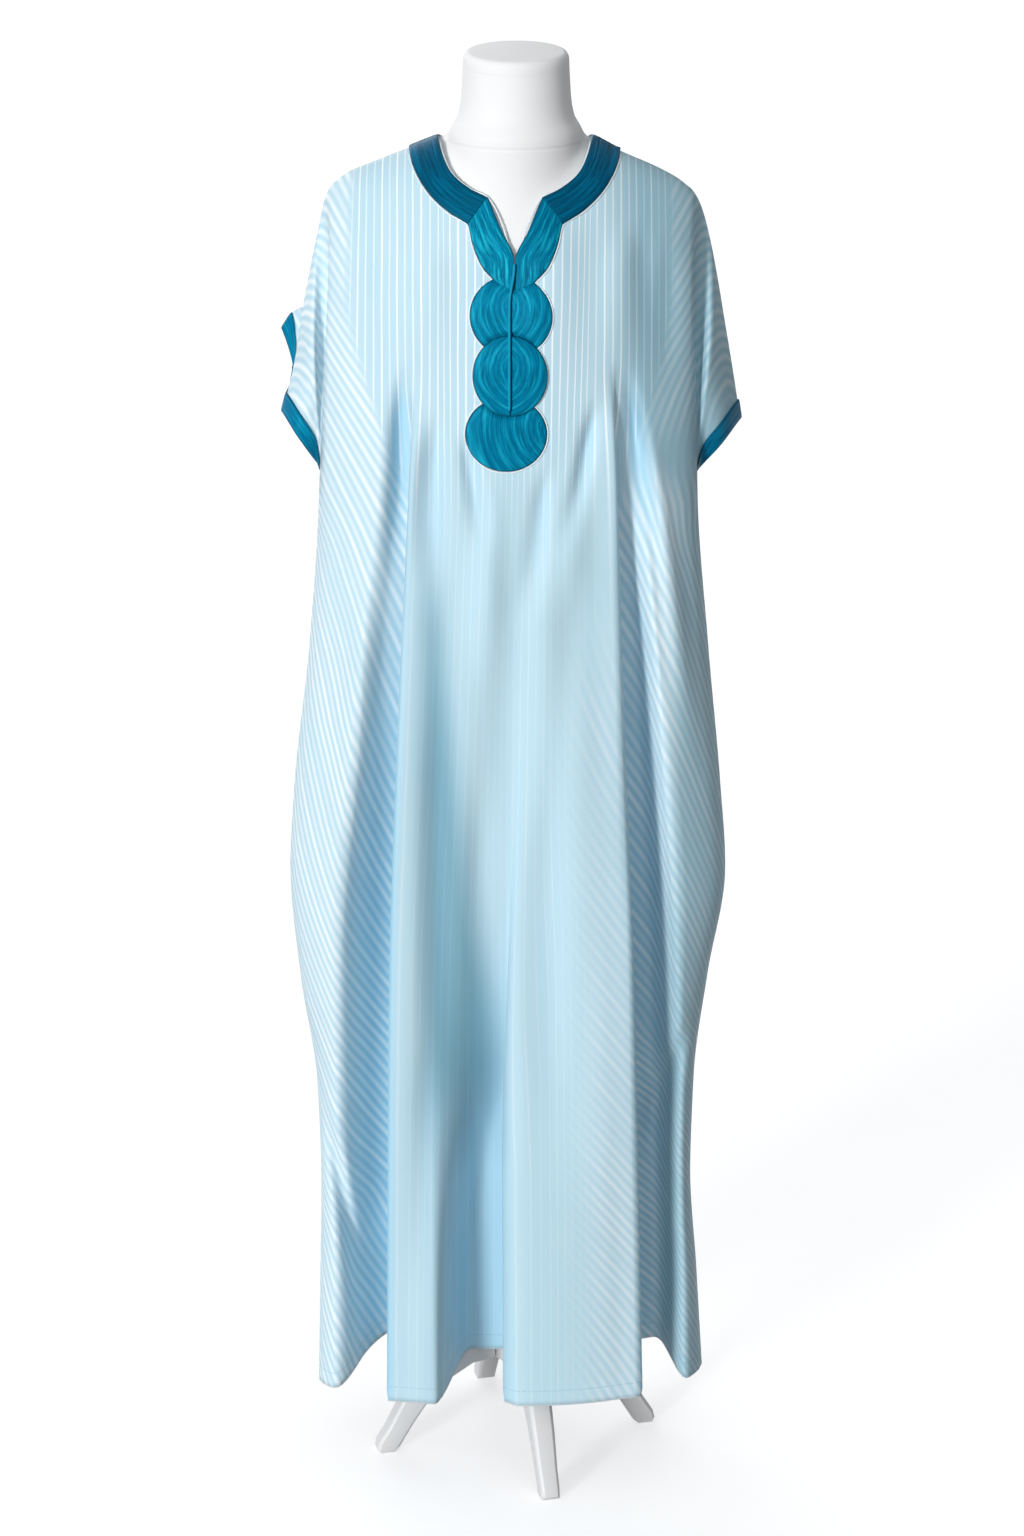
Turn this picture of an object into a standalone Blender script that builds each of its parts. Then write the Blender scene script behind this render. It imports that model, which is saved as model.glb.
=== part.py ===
# A gandoura: a loose ankle-length gown with cap sleeves, hanging on a limbless dress form.
# Metres, +Z up. The front faces -Y and the origin is on the floor, under the pole.
# Left and right are the viewer's, looking at the front.

import math

import bpy
import numpy as np
from mathutils import Matrix, Vector
from mathutils.bvhtree import BVHTree

# Cloth walls and the gaps between pieces
CLOTH = 0.0016
BAND = 0.0015
DISC = 0.0026
SEAM_GAP = 0.0003
LAY_GAP = 0.0005
SNAP = 0.0007
SEAT_GAP = 0.0003

# Heights that drive the gown
HEM_Z = 0.100
UNDERARM_Z = 1.120
NECK_X = 0.003
NECK_HALF = 0.0785
NECK_TOP_Z = 1.502
SHOULDER_FALL = 0.42
CHEST_RISE = 0.13
ROUND_POWER = 0.6
SIDE_RETURN = 0.010
CUFF_BULGE = 0.034
CREASE_TUCK = 0.010
CUFF_BAND_WIDE = 0.0205


def table(columns, rows):
    """Named columns of numbers, with a row for each section, line or fold."""
    return dict(zip(columns.split(), np.array(rows, float).T))


# Level sections of the gown: half widths, depths at the middle and where the front turns
# to the side, and how far behind the pole's plane each side seam lies
SECTIONS = table(
    "z     left   right  front  back   edge_l edge_r bedge  seam_l seam_r",
    [
        (0.10, 0.216, 0.214, 0.128, 0.135, 0.062, 0.022, 0.060, -0.008, 0.022),
        (0.22, 0.213, 0.206, 0.132, 0.133, 0.060, 0.026, 0.058, -0.006, 0.020),
        (0.35, 0.210, 0.197, 0.136, 0.130, 0.056, 0.032, 0.056, -0.004, 0.014),
        (0.46, 0.213, 0.199, 0.138, 0.128, 0.054, 0.040, 0.055, 0.000, 0.010),
        (0.58, 0.229, 0.212, 0.140, 0.126, 0.054, 0.046, 0.054, 0.000, 0.006),
        (0.70, 0.238, 0.229, 0.141, 0.125, 0.055, 0.050, 0.052, 0.000, 0.004),
        (0.80, 0.232, 0.222, 0.142, 0.124, 0.056, 0.052, 0.051, 0.000, 0.002),
        (0.95, 0.214, 0.207, 0.143, 0.123, 0.058, 0.056, 0.050, 0.000, 0.000),
        (1.12, 0.201, 0.193, 0.143, 0.124, 0.060, 0.060, 0.050, 0.000, 0.000),
        (1.30, 0.197, 0.190, 0.142, 0.128, 0.060, 0.060, 0.052, 0.000, 0.000),
        (1.50, 0.186, 0.186, 0.140, 0.135, 0.058, 0.058, 0.054, 0.000, 0.000),
    ],
)

# Neck opening and its band, from the foot of the slit to the shoulder, out from NECK_X
NECKLINE = table(
    "x      z",
    [(0.0, 1.368), (0.0275, 1.430), (0.0465, 1.4385), (0.0645, 1.452), (0.0725, 1.4655), (0.0785, 1.4815)],
)
BACK_NECKLINE = table("x z", [(0.0, 1.461), (0.040, 1.464), (0.066, 1.472), (0.0785, 1.4815)])
BAND_OUTER = table(
    "x      z",
    [(0.0475, 1.404), (0.068, 1.4155), (0.088, 1.4325), (0.103, 1.4545), (0.1085, 1.4695)],
)
SLIT_OUTER = table("x z", [(0.0475, 1.404), (0.0430, 1.386), (0.0335, 1.364), (0.0190, 1.348)])
SLIT_END_Z = 1.340
BACK_BAND_OUTER = table("x z", [(0.0, 1.430), (0.050, 1.434), (0.088, 1.450), (0.1085, 1.4695)])

# Shoulder line from the neck to the shoulder tip, then the sleeve's fold down to its cuff
LEFT_TOP = table(
    "x      z      y",
    [
        (0.0785, 1.4815, 0.0), (0.108, 1.470, 0.0), (0.150, 1.4535, 0.0), (0.172, 1.4445, 0.0),
        (0.186, 1.434, 0.0), (0.195, 1.420, 0.0), (0.201, 1.395, -0.001), (0.211, 1.350, -0.004),
        (0.220, 1.305, -0.010), (0.229, 1.250, -0.018), (0.242, 1.199, -0.026),
    ],
)
RIGHT_TOP = table(
    "x      z      y",
    [
        (0.0785, 1.4815, 0.0), (0.108, 1.4665, 0.0), (0.146, 1.450, 0.0), (0.168, 1.438, 0.0),
        (0.181, 1.428, 0.0), (0.189, 1.416, 0.0), (0.197, 1.394, 0.0), (0.208, 1.345, 0.0),
        (0.218, 1.290, 0.0), (0.227, 1.240, 0.0), (0.236, 1.186, 0.0),
    ],
)
TIP_ROW = 4
NECK_CROWDING = 1.4

# How the back of the left sleeve's opening swings out behind its front
FLARE = table(
    "f    out    back   up",
    [
        (0.0, 0.0, 0.0, 0.0), (0.075, -0.007, 0.003, 0.020), (0.14, -0.006, 0.004, 0.042),
        (0.23, 0.001, 0.005, 0.068), (0.34, 0.012, 0.009, 0.092), (0.46, 0.014, 0.022, 0.084),
        (0.59, 0.010, 0.024, 0.056), (0.73, 0.005, 0.014, 0.028), (0.87, 0.001, 0.004, 0.008),
        (1.0, 0.0, 0.0, 0.0),
    ],
)

# Lines that run down the cloth, with the columns of the wall between each and the next
LINES = [
    ("tip_left", 0), ("outer_left", 2), ("edge_left", 5), ("nose_left", 1), ("neck_left", 2),
    ("tube_left", 4), ("corner_left", 2), ("edge_mid", 2), ("nose_mid", 1), ("corner_right", 1),
    ("neck_right", 5), ("nose_right", 2), ("edge_right", 1), ("outer_right", 5), ("tip_right", 2),
]
SLEEVE_STATIONS = (0.10, 0.24, 0.44, 0.66, 0.86, 1.0)

FRONT_LINES = {
    # top of the line, chest, waist, knee and hem, measured from the middle
    "outer_left": (-0.147, -0.150, -0.160, -0.184, -0.180),
    "edge_left": (-0.107, -0.106, -0.119, -0.131, -0.139),
    "nose_left": (-0.099, -0.098, -0.110, -0.121, -0.129),
    "neck_left": (-0.0755, -0.078, -0.086, -0.100, -0.108),
    "tube_left": (-0.050, -0.052, -0.060, -0.072, -0.082),
    "corner_left": (-0.0245, -0.026, -0.034, -0.042, -0.046),
    "edge_mid": (0.003, 0.000, -0.006, -0.010, -0.009),
    "nose_mid": (0.009, 0.006, 0.001, 0.000, 0.001),
    "corner_right": (0.0305, 0.031, 0.033, 0.038, 0.042),
    "neck_right": (0.0815, 0.078, 0.080, 0.088, 0.095),
    "nose_right": (0.100, 0.100, 0.109, 0.120, 0.135),
    "edge_right": (0.108, 0.108, 0.117, 0.130, 0.145),
    "outer_right": (0.149, 0.150, 0.158, 0.176, 0.184),
}
BACK_LINES = {
    "outer_left": (-0.147, -0.150, -0.160, -0.182, -0.178),
    "edge_left": (-0.107, -0.106, -0.115, -0.127, -0.133),
    "nose_left": (-0.099, -0.098, -0.107, -0.117, -0.123),
    "neck_left": (-0.0755, -0.076, -0.082, -0.090, -0.096),
    "tube_left": (-0.050, -0.050, -0.052, -0.054, -0.056),
    "corner_left": (-0.0245, -0.024, -0.022, -0.020, -0.018),
    "edge_mid": (0.003, 0.004, 0.008, 0.012, 0.016),
    "nose_mid": (0.009, 0.010, 0.015, 0.020, 0.026),
    "corner_right": (0.0305, 0.032, 0.038, 0.046, 0.052),
    "neck_right": (0.0815, 0.080, 0.084, 0.092, 0.098),
    "nose_right": (0.100, 0.099, 0.106, 0.116, 0.124),
    "edge_right": (0.108, 0.107, 0.114, 0.126, 0.134),
    "outer_right": (0.149, 0.150, 0.158, 0.176, 0.182),
}
LINE_HEIGHTS = (1.12, 0.88, 0.60, 0.10)

# Valleys that hang from the bust and the shoulder blades. Each is deepest beside a sharp
# edge that leans over it; side is the edge's side of the valley (1 right, -1 left)
FOLD_EDGES = ("edge_left", "edge_mid", "edge_right")
FOLD_SIZES = "side top_z full_z mid deep reach_top reach tuck nose floor"
FRONT_FOLDS = table(
    FOLD_SIZES,
    [
        (1, 1.262, 0.62, 0.040, 0.112, 0.030, 0.062, 0.012, 0.010, 1.0),
        (1, 1.100, 0.45, 0.018, 0.092, 0.040, 0.074, 0.008, 0.010, 1.9),
        (-1, 1.268, 0.62, 0.034, 0.084, 0.030, 0.052, 0.012, 0.010, 1.0),
    ],
)
BACK_FOLDS = table(
    FOLD_SIZES,
    [
        (1, 1.330, 0.60, 0.028, 0.085, 0.030, 0.056, 0.008, 0.010, 1.0),
        (-1, 1.050, 0.45, 0.012, 0.046, 0.036, 0.052, 0.006, 0.014, 1.2),
        (-1, 1.320, 0.60, 0.028, 0.080, 0.030, 0.054, 0.008, 0.010, 1.0),
    ],
)
MID_FOLD_Z = 0.95
HEM_LIFT = 0.30

# Rows of the wall: shares of the way down to the underarm, then on to the hem
TOP_ROWS = (0.0, 0.02, 0.05, 0.09, 0.15, 0.23, 0.34, 0.46, 0.59, 0.73, 0.87, 1.0)
LOW_ROWS = tuple(np.linspace(0.0, 1.0, 12)[1:])

# Embroidered discs down the slit: middle, half width and half height
DISCS = {
    "top": (-0.001, 1.315, 0.0415, 0.0400),
    "middle": (-0.002, 1.255, 0.0375, 0.0410),
    "bottom": (-0.006, 1.1955, 0.0415, 0.0380),
}
DISC_GAP = 0.0014
SLIT_GAP = 0.0009
BAND_GAP = 0.0005
NECK_GAP = 0.0010
SLIT_STEP = 0.0006

# The dress form: half width, front and back depth of each level section
FORM_X = 0.004
TORSO = table(
    "z      wide   front  back   power",
    [
        (0.735, 0.098, 0.054, 0.056, 2.2),
        (0.760, 0.112, 0.064, 0.066, 2.3),
        (0.860, 0.120, 0.074, 0.072, 2.3),
        (0.960, 0.116, 0.077, 0.070, 2.3),
        (1.060, 0.112, 0.082, 0.070, 2.3),
        (1.140, 0.124, 0.094, 0.077, 2.3),
        (1.230, 0.144, 0.102, 0.084, 2.4),
        (1.300, 0.152, 0.098, 0.086, 2.4),
    ],
)
NECK = table(
    "z      radius  back",
    [
        (1.440, 0.0650, 0.0485), (1.462, 0.0650, 0.0485), (1.474, 0.0650, 0.0510), (1.492, 0.0620, 0.0545),
        (1.508, 0.0588, 0.0560), (1.530, 0.0562, 0.0560), (1.553, 0.0545, 0.0545),
    ],
)
FORM_TIP = 0.166
SHOULDER_FROM, SHOULDER_TO = 1.300, 1.372
FORM_INSET = 0.005
SEAT_DROP = 0.0023
SHOULDER_ROUND = 0.0060
NECK_BLEND = 0.005
NECK_FROM_Z = 1.37
FORM_TOP_Z = 1.555
CAP_TILT = math.radians(5.0)

# Stand: pole, hub and four flat legs
POLE_RADIUS = 0.0125
HUB_TOP, HUB_BOTTOM, HUB_RADIUS = 0.190, 0.098, 0.027
LEG_REACH, LEG_THICK, LEG_TURN = 0.166, 0.021, math.radians(-76.0)
FORM_SIDES = 26


def smooth(t):
    t = np.clip(t, 0.0, 1.0)
    return t * t * (3 - 2 * t)


def through(xs, ys, x):
    """A smooth curve through the points that doesn't overshoot them."""
    step, secant = np.diff(xs), np.diff(ys) / np.diff(xs)
    slope = np.empty(len(ys))
    slope[0], slope[-1] = secant[0], secant[-1]
    product = secant[1:] * secant[:-1]
    total = np.where(product > 0, secant[1:] + secant[:-1], 1.0)
    slope[1:-1] = np.where(product > 0, 2 * product / total, 0.0)
    i = np.clip(np.searchsorted(xs, x) - 1, 0, len(xs) - 2)
    t = (np.clip(x, xs[0], xs[-1]) - np.take(xs, i)) / step[i]
    low, high = np.take(ys, i), np.take(ys, i + 1)
    bend = (slope[i] * (1 - t) - slope[i + 1] * t) * step[i] * t * (1 - t)
    return low + (high - low) * smooth(t) + bend


def section(name, z):
    return through(SECTIONS["z"], SECTIONS[name], z)


def lerp(a, b, t):
    return a + (b - a) * t


# Surface of the gown before its folds
def shoulder_z(x):
    """Height of the shoulder line, carried on across the neck and past the tips."""
    heights = []
    for half in (LEFT_TOP, RIGHT_TOP):
        out = np.concatenate([[-0.03, 0.0, 0.03], half["x"][: TIP_ROW + 1], [half["x"][TIP_ROW] + 0.1]])
        drop = half["z"][TIP_ROW] - 0.1 * SHOULDER_FALL
        neck = [NECK_TOP_Z - 0.004, NECK_TOP_Z, NECK_TOP_Z - 0.004]
        z = np.concatenate([neck, half["z"][: TIP_ROW + 1], [drop]])
        heights.append(through(out, z, np.abs(x - NECK_X)))
    return np.where(x < NECK_X, heights[0], heights[1])


def half_width(x, z):
    return np.where(x < 0, section("left", z), section("right", z))


def depth(x, z, facing):
    """How far the cloth stands out from the shoulder's plane, in front or at the back."""
    if facing < 0:
        middle, edge = section("front", z), np.where(x < 0, section("edge_l", z), section("edge_r", z))
    else:
        middle, edge = section("back", z), section("bedge", z)
    across = np.clip(np.abs(x) / half_width(x, z), 0.0, 1.0)
    profile = (1 - across**2.4) ** 0.62
    below = np.maximum(shoulder_z(x) - z, 0.0)
    return (edge + (middle - edge) * profile) * (1 - np.exp(-((below / CHEST_RISE) ** ROUND_POWER)))


def fold_shift(x, z, lines, folds):
    """Sideways shift, inward depth and share of full depth of all the valleys at one level."""
    aside, inward = np.zeros_like(x), np.zeros_like(x)
    for k, name in enumerate(FOLD_EDGES):
        side, top_z, full_z, mid, deep, reach_top, reach, tuck, nose, floor = (
            folds[size][k] for size in FOLD_SIZES.split()
        )
        edge = line_x(lines[name][1:], z)
        grown = smooth((top_z - z) / (top_z - full_z))
        deep = through([0.0, full_z, MID_FOLD_Z, top_z], [deep, deep * 0.92, mid, 0.0], z)
        reach = lerp(reach_top, reach, grown)
        q = (x - edge) * side
        ramp = np.where(q < 0, smooth(floor * (1 + q / reach)), smooth(1 - q / nose))
        started = smooth((top_z - z) / 0.16)
        tucked = np.where(q < 0, smooth(1 + 2 * q / reach), smooth(1 - q / (0.6 * nose))) * tuck
        leaned = smooth(1 - np.abs(q - nose) / (1.6 * nose)) * nose * 0.8
        aside = aside + side * started * (tucked - leaned * (q > 0))
        inward = inward + deep * ramp
    return aside, inward


def line_x(values, z):
    return through(LINE_HEIGHTS[::-1], values[::-1], z)


def top_point(half, station):
    """Shoulder line and sleeve fold: station 0 at the neck, 1 at the tip, 2 at the cuff."""
    steps = np.hypot(np.diff(half["x"]), np.diff(half["z"]))
    run = np.concatenate([[0.0], np.cumsum(steps)])
    tip = run[TIP_ROW]
    along = station * tip if station <= 1 else tip + (station - 1) * (run[-1] - tip)
    return tuple(float(through(run, half[name], along)) for name in ("x", "z", "y"))


def columns(facing):
    """Each column of a panel: its top point and its place at the underarm and below."""
    lines = dict(FRONT_LINES if facing < 0 else BACK_LINES)
    found = []
    for sleeve in reversed(SLEEVE_STATIONS):
        found.append(("sleeve", -1, sleeve))
    names = [name for name, _ in LINES]
    for k, (name, count) in enumerate(LINES):
        for step in range(1, count + 1):
            found.append(("body", names[k - 1], name, step / count))
        if count == 0:
            found.append(("body", name, name, 1.0))
    for sleeve in SLEEVE_STATIONS:
        found.append(("sleeve", 1, sleeve))
    return found, lines


def station_x(name, lines, z, top):
    """Where a line of the cloth runs: at the top of the panel, or at a level below it."""
    if name in ("tip_left", "tip_right"):
        side = -1 if name == "tip_left" else 1
        if top:
            half = LEFT_TOP if side < 0 else RIGHT_TOP
            return NECK_X + side * half["x"][TIP_ROW]
        return side * float(section("left" if side < 0 else "right", z))
    if top:
        return lines[name][0]
    return float(line_x(lines[name][1:], z))


def neck_edge_z(x, facing):
    out = abs(x - NECK_X)
    if out >= NECK_HALF - 1e-6:
        return float(shoulder_z(x))
    if facing > 0:
        return float(through(BACK_NECKLINE["x"], BACK_NECKLINE["z"], out))
    if out < NECKLINE["x"][1]:
        return float(lerp(NECKLINE["z"][0], NECKLINE["z"][1], out / NECKLINE["x"][1]))
    return float(through(NECKLINE["x"][1:], NECKLINE["z"][1:], out))


def body_column(a, b, share, lines, facing, folds):
    top_share = share
    if a == "neck_left":
        top_share = share**NECK_CROWDING
    if b == "neck_right":
        top_share = 1 - (1 - share) ** NECK_CROWDING
    top_x = lerp(station_x(a, lines, 0, True), station_x(b, lines, 0, True), top_share)
    top_z = neck_edge_z(top_x, facing)
    arm_x = lerp(station_x(a, lines, UNDERARM_Z, False), station_x(b, lines, UNDERARM_Z, False), share)
    points = []
    for f in TOP_ROWS:
        points.append((lerp(top_x, arm_x, f), lerp(top_z, UNDERARM_Z, f)))
    hem_x = lerp(station_x(a, lines, HEM_Z, False), station_x(b, lines, HEM_Z, False), share)
    lift = HEM_LIFT * float(fold_shift(np.array([hem_x]), HEM_Z, lines, folds)[1][0])
    for f in LOW_ROWS:
        z = lerp(UNDERARM_Z, HEM_Z + lift, f)
        x = lerp(station_x(a, lines, z, False), station_x(b, lines, z, False), share)
        points.append((x, z))
    found = []
    for x, z in points:
        aside, inward = fold_shift(np.array([x]), z, lines, folds)
        y = depth(x, z, facing) - float(inward[0])
        found.append((x + float(aside[0]), facing * y, z))
    return found


def sleeve_column(side, g, ridge, facing):
    """From the crease beside the body (g 0) out to the cuff (g 1), and below it to the side seam."""
    half = LEFT_TOP if side < 0 else RIGHT_TOP
    width, seam = ("left", "seam_l") if side < 0 else ("right", "seam_r")
    arm_wide, arm_seam = float(section(width, UNDERARM_Z)), float(section(seam, UNDERARM_Z))
    arm = side * (arm_wide - SIDE_RETURN * float(smooth(g)))
    cuff_arm = side * (arm_wide - SIDE_RETURN)
    top, cuff_top = top_point(half, 1 + g), top_point(half, 2.0)
    found = []
    for row, f in enumerate(TOP_ROWS):
        lagged = lerp(f, f**3, 0.6 * g)
        flat = layer_point(side, top, arm, lerp(ridge[len(TOP_ROWS) - 1][1], arm_seam, g), lagged, g, facing)
        end = layer_point(side, cuff_top, cuff_arm, arm_seam, lerp(f, f**3, 0.6), 1.0, facing)
        ruled = lerp(np.array(ridge[row]), end, g)
        spot = lerp(flat, ruled, float(smooth((f - 0.45) / 0.45)))
        spot[1] = lerp(ridge[row][1], spot[1], float(smooth(g / 0.24)))
        spot[0] -= side * CREASE_TUCK * math.sin(math.pi * min(g / 0.24, 1.0)) * math.sin(math.pi * f**0.6)
        if facing > 0 and side < 0:
            spot = back_flare(*spot, g, f)
        found.append(tuple(spot))
    for f in LOW_ROWS:
        z = lerp(UNDERARM_Z, HEM_Z, f)
        wide = float(section(width, z))
        edge_y = facing * float(depth(side * wide * 0.9999, z, facing))
        x = side * (wide - SIDE_RETURN * float(smooth(g)))
        found.append((x, lerp(edge_y, float(section(seam, z)), g), z))
    return found


def layer_point(side, top, arm_x, arm_y, f, g, facing):
    """A point of a sleeve's front or back layer: f 0 on its fold, 1 at the underarm."""
    x, y = lerp(NECK_X + side * top[0], arm_x, f**0.8), lerp(top[2], arm_y, f)
    y += facing * CUFF_BULGE * math.sin(math.pi * f**0.75) * float(smooth(g * 2.2))
    return np.array((x, y, lerp(top[1], UNDERARM_Z, f)))


def back_flare(x, y, z, g, f):
    """The back of the left sleeve swings out and up behind the front, near its cuff."""
    out, back, up = (float(through(FLARE["f"], FLARE[name], f)) for name in ("out", "back", "up"))
    swing = float(smooth((g - 0.35) / 0.6))
    return x - out * g**6, y + back * swing, z + up * swing


def panel_grid(facing):
    found, lines = columns(facing)
    folds = FRONT_FOLDS if facing < 0 else BACK_FOLDS
    rows = [body_column(*spec[1:], lines, facing, folds) if spec[0] == "body" else None for spec in found]
    body = [k for k, row in enumerate(rows) if row]
    for k, spec in enumerate(found):
        if spec[0] == "sleeve":
            rows[k] = sleeve_column(spec[1], spec[2], rows[body[0] if spec[1] < 0 else body[-1]], facing)
    return np.array(rows), found


def grid_normals(points, facing):
    """Outward normals of a grid of columns and rows."""
    across = np.gradient(points, axis=0)
    down = np.gradient(points, axis=1)
    normal = np.cross(across, down)
    normal /= np.maximum(np.linalg.norm(normal, axis=2, keepdims=True), 1e-12)
    return normal * facing


def seam_frames(points, normals, found, facing):
    """Both panels end face to face at the shoulders, the sleeve folds and the side seams."""
    shift = facing * SEAM_GAP / 2
    for k, spec in enumerate(found):
        if spec[0] == "sleeve" and spec[2] == 1.0:
            for row in range(len(TOP_ROWS) - 1, points.shape[1]):
                normals[k, row] = (spec[1], 0.0, 0.0)
                points[k, row, 1] += shift
        if on_top_seam(spec, points[k, 0]):
            near = points[k + 1, 0] if k + 1 < len(found) else points[k, 0]
            far = points[k - 1, 0] if k > 0 else points[k, 0]
            run = near - far
            normals[k, 0] = np.array((-run[2], 0.0, run[0])) / math.hypot(run[0], run[2])
            points[k, 0, 1] += shift
    return points, normals


def on_top_seam(spec, top):
    return spec[0] == "sleeve" or abs(top[0] - NECK_X) >= NECK_HALF - 1e-6


# Meshes
def new_object(name, verts, faces, material):
    mesh = bpy.data.meshes.new(name)
    mesh.from_pydata([tuple(float(c) for c in v) for v in verts], [], faces)
    mesh.update()
    for polygon in mesh.polygons:
        polygon.use_smooth = True
    mesh.set_sharp_from_angle(angle=math.radians(50))
    mesh.materials.append(material)
    obj = bpy.data.objects.new(name, mesh)
    bpy.context.scene.collection.objects.link(obj)
    return obj


def wall(name, points, normals, inner, outer, material, flip=False):
    """A closed wall from a grid of points: inner and outer are offsets along the normals."""
    nu, nv = points.shape[:2]
    sheets = [(points + normals * offset).reshape(-1, 3) for offset in (outer, inner)]
    verts = np.concatenate(sheets)
    count = nu * nv
    faces = []
    for i in range(nu - 1):
        for j in range(nv - 1):
            a, b, c, d = i * nv + j, i * nv + j + 1, (i + 1) * nv + j + 1, (i + 1) * nv + j
            faces += [(a, b, c), (a, c, d)]
            faces += [(count + a, count + c, count + b), (count + a, count + d, count + c)]
    rim = [i * nv for i in range(nu)] + [(nu - 1) * nv + j for j in range(1, nv)]
    rim += [i * nv + nv - 1 for i in range(nu - 2, -1, -1)] + [j for j in range(nv - 2, 0, -1)]
    for k, a in enumerate(rim):
        b = rim[(k + 1) % len(rim)]
        faces += [(a, b, count + b), (a, count + b, count + a)]
    if flip:
        faces = [face[::-1] for face in faces]
    return new_object(name, verts, faces, material)


def surface_of(obj):
    mesh = obj.data
    return BVHTree.FromPolygons([v.co for v in mesh.vertices], [tuple(p.vertices) for p in mesh.polygons])


def base_point(x, z, facing):
    return np.array((x, facing * float(depth(x, z, facing)), z))


def base_normal(x, z, facing):
    step = 0.002
    side = base_point(x + step, z, facing) - base_point(x - step, z, facing)
    drop = base_point(x, z - step, facing) - base_point(x, z + step, facing)
    normal = np.cross(side, drop) * facing
    return normal / np.linalg.norm(normal)


def laid_on(tree, x, z, facing):
    """The point of a panel's outer face at this place, and its outward normal."""
    point, normal = base_point(x, z, facing), base_normal(x, z, facing)
    start = Vector(point + normal * 0.04)
    hit = tree.ray_cast(start, Vector(-normal), 0.08)[0]
    return (np.array(hit) if hit else point + normal * CLOTH / 2), normal


def material(name, colour, roughness, metallic=0.0):
    made = bpy.data.materials.new(name)
    made.use_nodes = True
    made.diffuse_color = (*colour, 1.0)
    shader = made.node_tree.nodes["Principled BSDF"]
    shader.inputs["Base Color"].default_value = (*colour, 1.0)
    shader.inputs["Roughness"].default_value = roughness
    shader.inputs["Metallic"].default_value = metallic
    return made


# Pieces of the gown
def make_panels(cloth):
    made = {}
    for name, facing in (("front_panel", -1), ("back_panel", 1)):
        points, found = panel_grid(facing)
        normals = grid_normals(points, facing)
        points, normals = seam_frames(points, normals, found, facing)
        obj = wall(name, points, normals, -CLOTH / 2, CLOTH / 2, cloth, flip=facing > 0)
        made[facing] = (obj, points, normals, found)
    return made


def finer(grid, split):
    """More points on the same flat triangles, each of a quad's two cut the same way."""
    nu, nv = grid.shape[:2]
    u, v = (np.minimum(np.arange((n - 1) * split + 1) / split, n - 1 - 1e-9) for n in (nu, nv))
    i, j = u.astype(int), v.astype(int)
    s, t = (u - i)[:, None, None], (v - j)[None, :, None]
    a, b = grid[i][:, j], grid[i][:, j + 1]
    c, d = grid[i + 1][:, j + 1], grid[i + 1][:, j]
    return np.where(t >= s, a * (1 - t) + b * (t - s) + c * s, a * (1 - s) + d * (s - t) + c * t)


def clip(polygons, spots, field):
    """Keeps the side of every polygon where the field is above zero."""
    values = field(np.array([spot[:3] for spot in spots]))
    values[np.abs(values) < SNAP] = 0.0
    crossings, kept = {}, []
    for polygon in polygons:
        found = []
        for a, b in zip(polygon, polygon[1:] + polygon[:1]):
            if values[a] >= 0:
                found.append(a)
            if values[a] * values[b] < 0:
                key = min(a, b), max(a, b)
                if key not in crossings:
                    share = values[key[0]] / (values[key[0]] - values[key[1]])
                    crossings[key] = len(spots)
                    spots.append(lerp(spots[key[0]], spots[key[1]], share))
                found.append(crossings[key])
        if len(found) > 2 and max(values[k] if k < len(values) else 0 for k in found) > 0:
            kept.append(found)
    return kept


def patch(name, panel, columns, rows, fields, low, high, look, facing, split=2):
    """A piece sewn flat on a panel: part of the panel's own faces, moved out by low and high."""
    _, points, normals, _ = panel
    both = np.concatenate([points, normals], axis=2)[columns][:, rows]
    both = finer(both, split)
    nu, nv = both.shape[:2]
    spots = list(both.reshape(-1, 6))
    polygons = []
    for i in range(nu - 1):
        for j in range(nv - 1):
            a, b, c, d = i * nv + j, i * nv + j + 1, (i + 1) * nv + j + 1, (i + 1) * nv + j
            polygons += [[a, b, c], [a, c, d]]
    for field in fields:
        polygons = clip(polygons, spots, field)
    triangles = [(poly[0], poly[k], poly[k + 1]) for poly in polygons for k in range(1, len(poly) - 1)]
    used = sorted({k for triangle in triangles for k in triangle})
    place = {k: n for n, k in enumerate(used)}
    spots = np.array([spots[k] for k in used])
    count = len(used)
    verts = np.concatenate([spots[:, :3] + spots[:, 3:] * high, spots[:, :3] + spots[:, 3:] * low])
    triangles = [tuple(place[k] for k in triangle) for triangle in triangles]
    directed = {(t[k], t[(k + 1) % 3]) for t in triangles for k in range(3)}
    faces = list(triangles) + [tuple(count + k for k in t[::-1]) for t in triangles]
    for a, b in directed:
        if (b, a) not in directed:
            faces += [(b, a, count + a), (b, count + a, count + b)]
    if facing > 0:
        faces = [face[::-1] for face in faces]
    return new_object(name, verts, faces, look)


def beside(rows, side=0):
    """Signed distance in the front view from a line of (x, z) points, carried on at both ends."""
    xs, zs = np.array(rows["x"]), np.array(rows["z"])
    xs = np.concatenate([[2 * xs[0] - xs[1]], xs, [2 * xs[-1] - xs[-2]]])
    zs = np.concatenate([[2 * zs[0] - zs[1]], zs, [2 * zs[-1] - zs[-2]]])

    def field(spots):
        out = (spots[:, 0] - NECK_X) * side if side else np.abs(spots[:, 0] - NECK_X)
        best, value = np.full(len(spots), 1e9), np.zeros(len(spots))
        for x0, z0, x1, z1 in zip(xs, zs, xs[1:], zs[1:]):
            dx, dz = x1 - x0, z1 - z0
            t = np.clip(((out - x0) * dx + (spots[:, 2] - z0) * dz) / (dx * dx + dz * dz), 0, 1)
            gap = np.hypot(out - x0 - t * dx, spots[:, 2] - z0 - t * dz)
            sign = np.sign(dx * (spots[:, 2] - z0) - dz * (out - x0))
            value = np.where(gap < best - 1e-9, gap * sign, value)
            best = np.minimum(best, gap)
        return value

    return field


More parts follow.
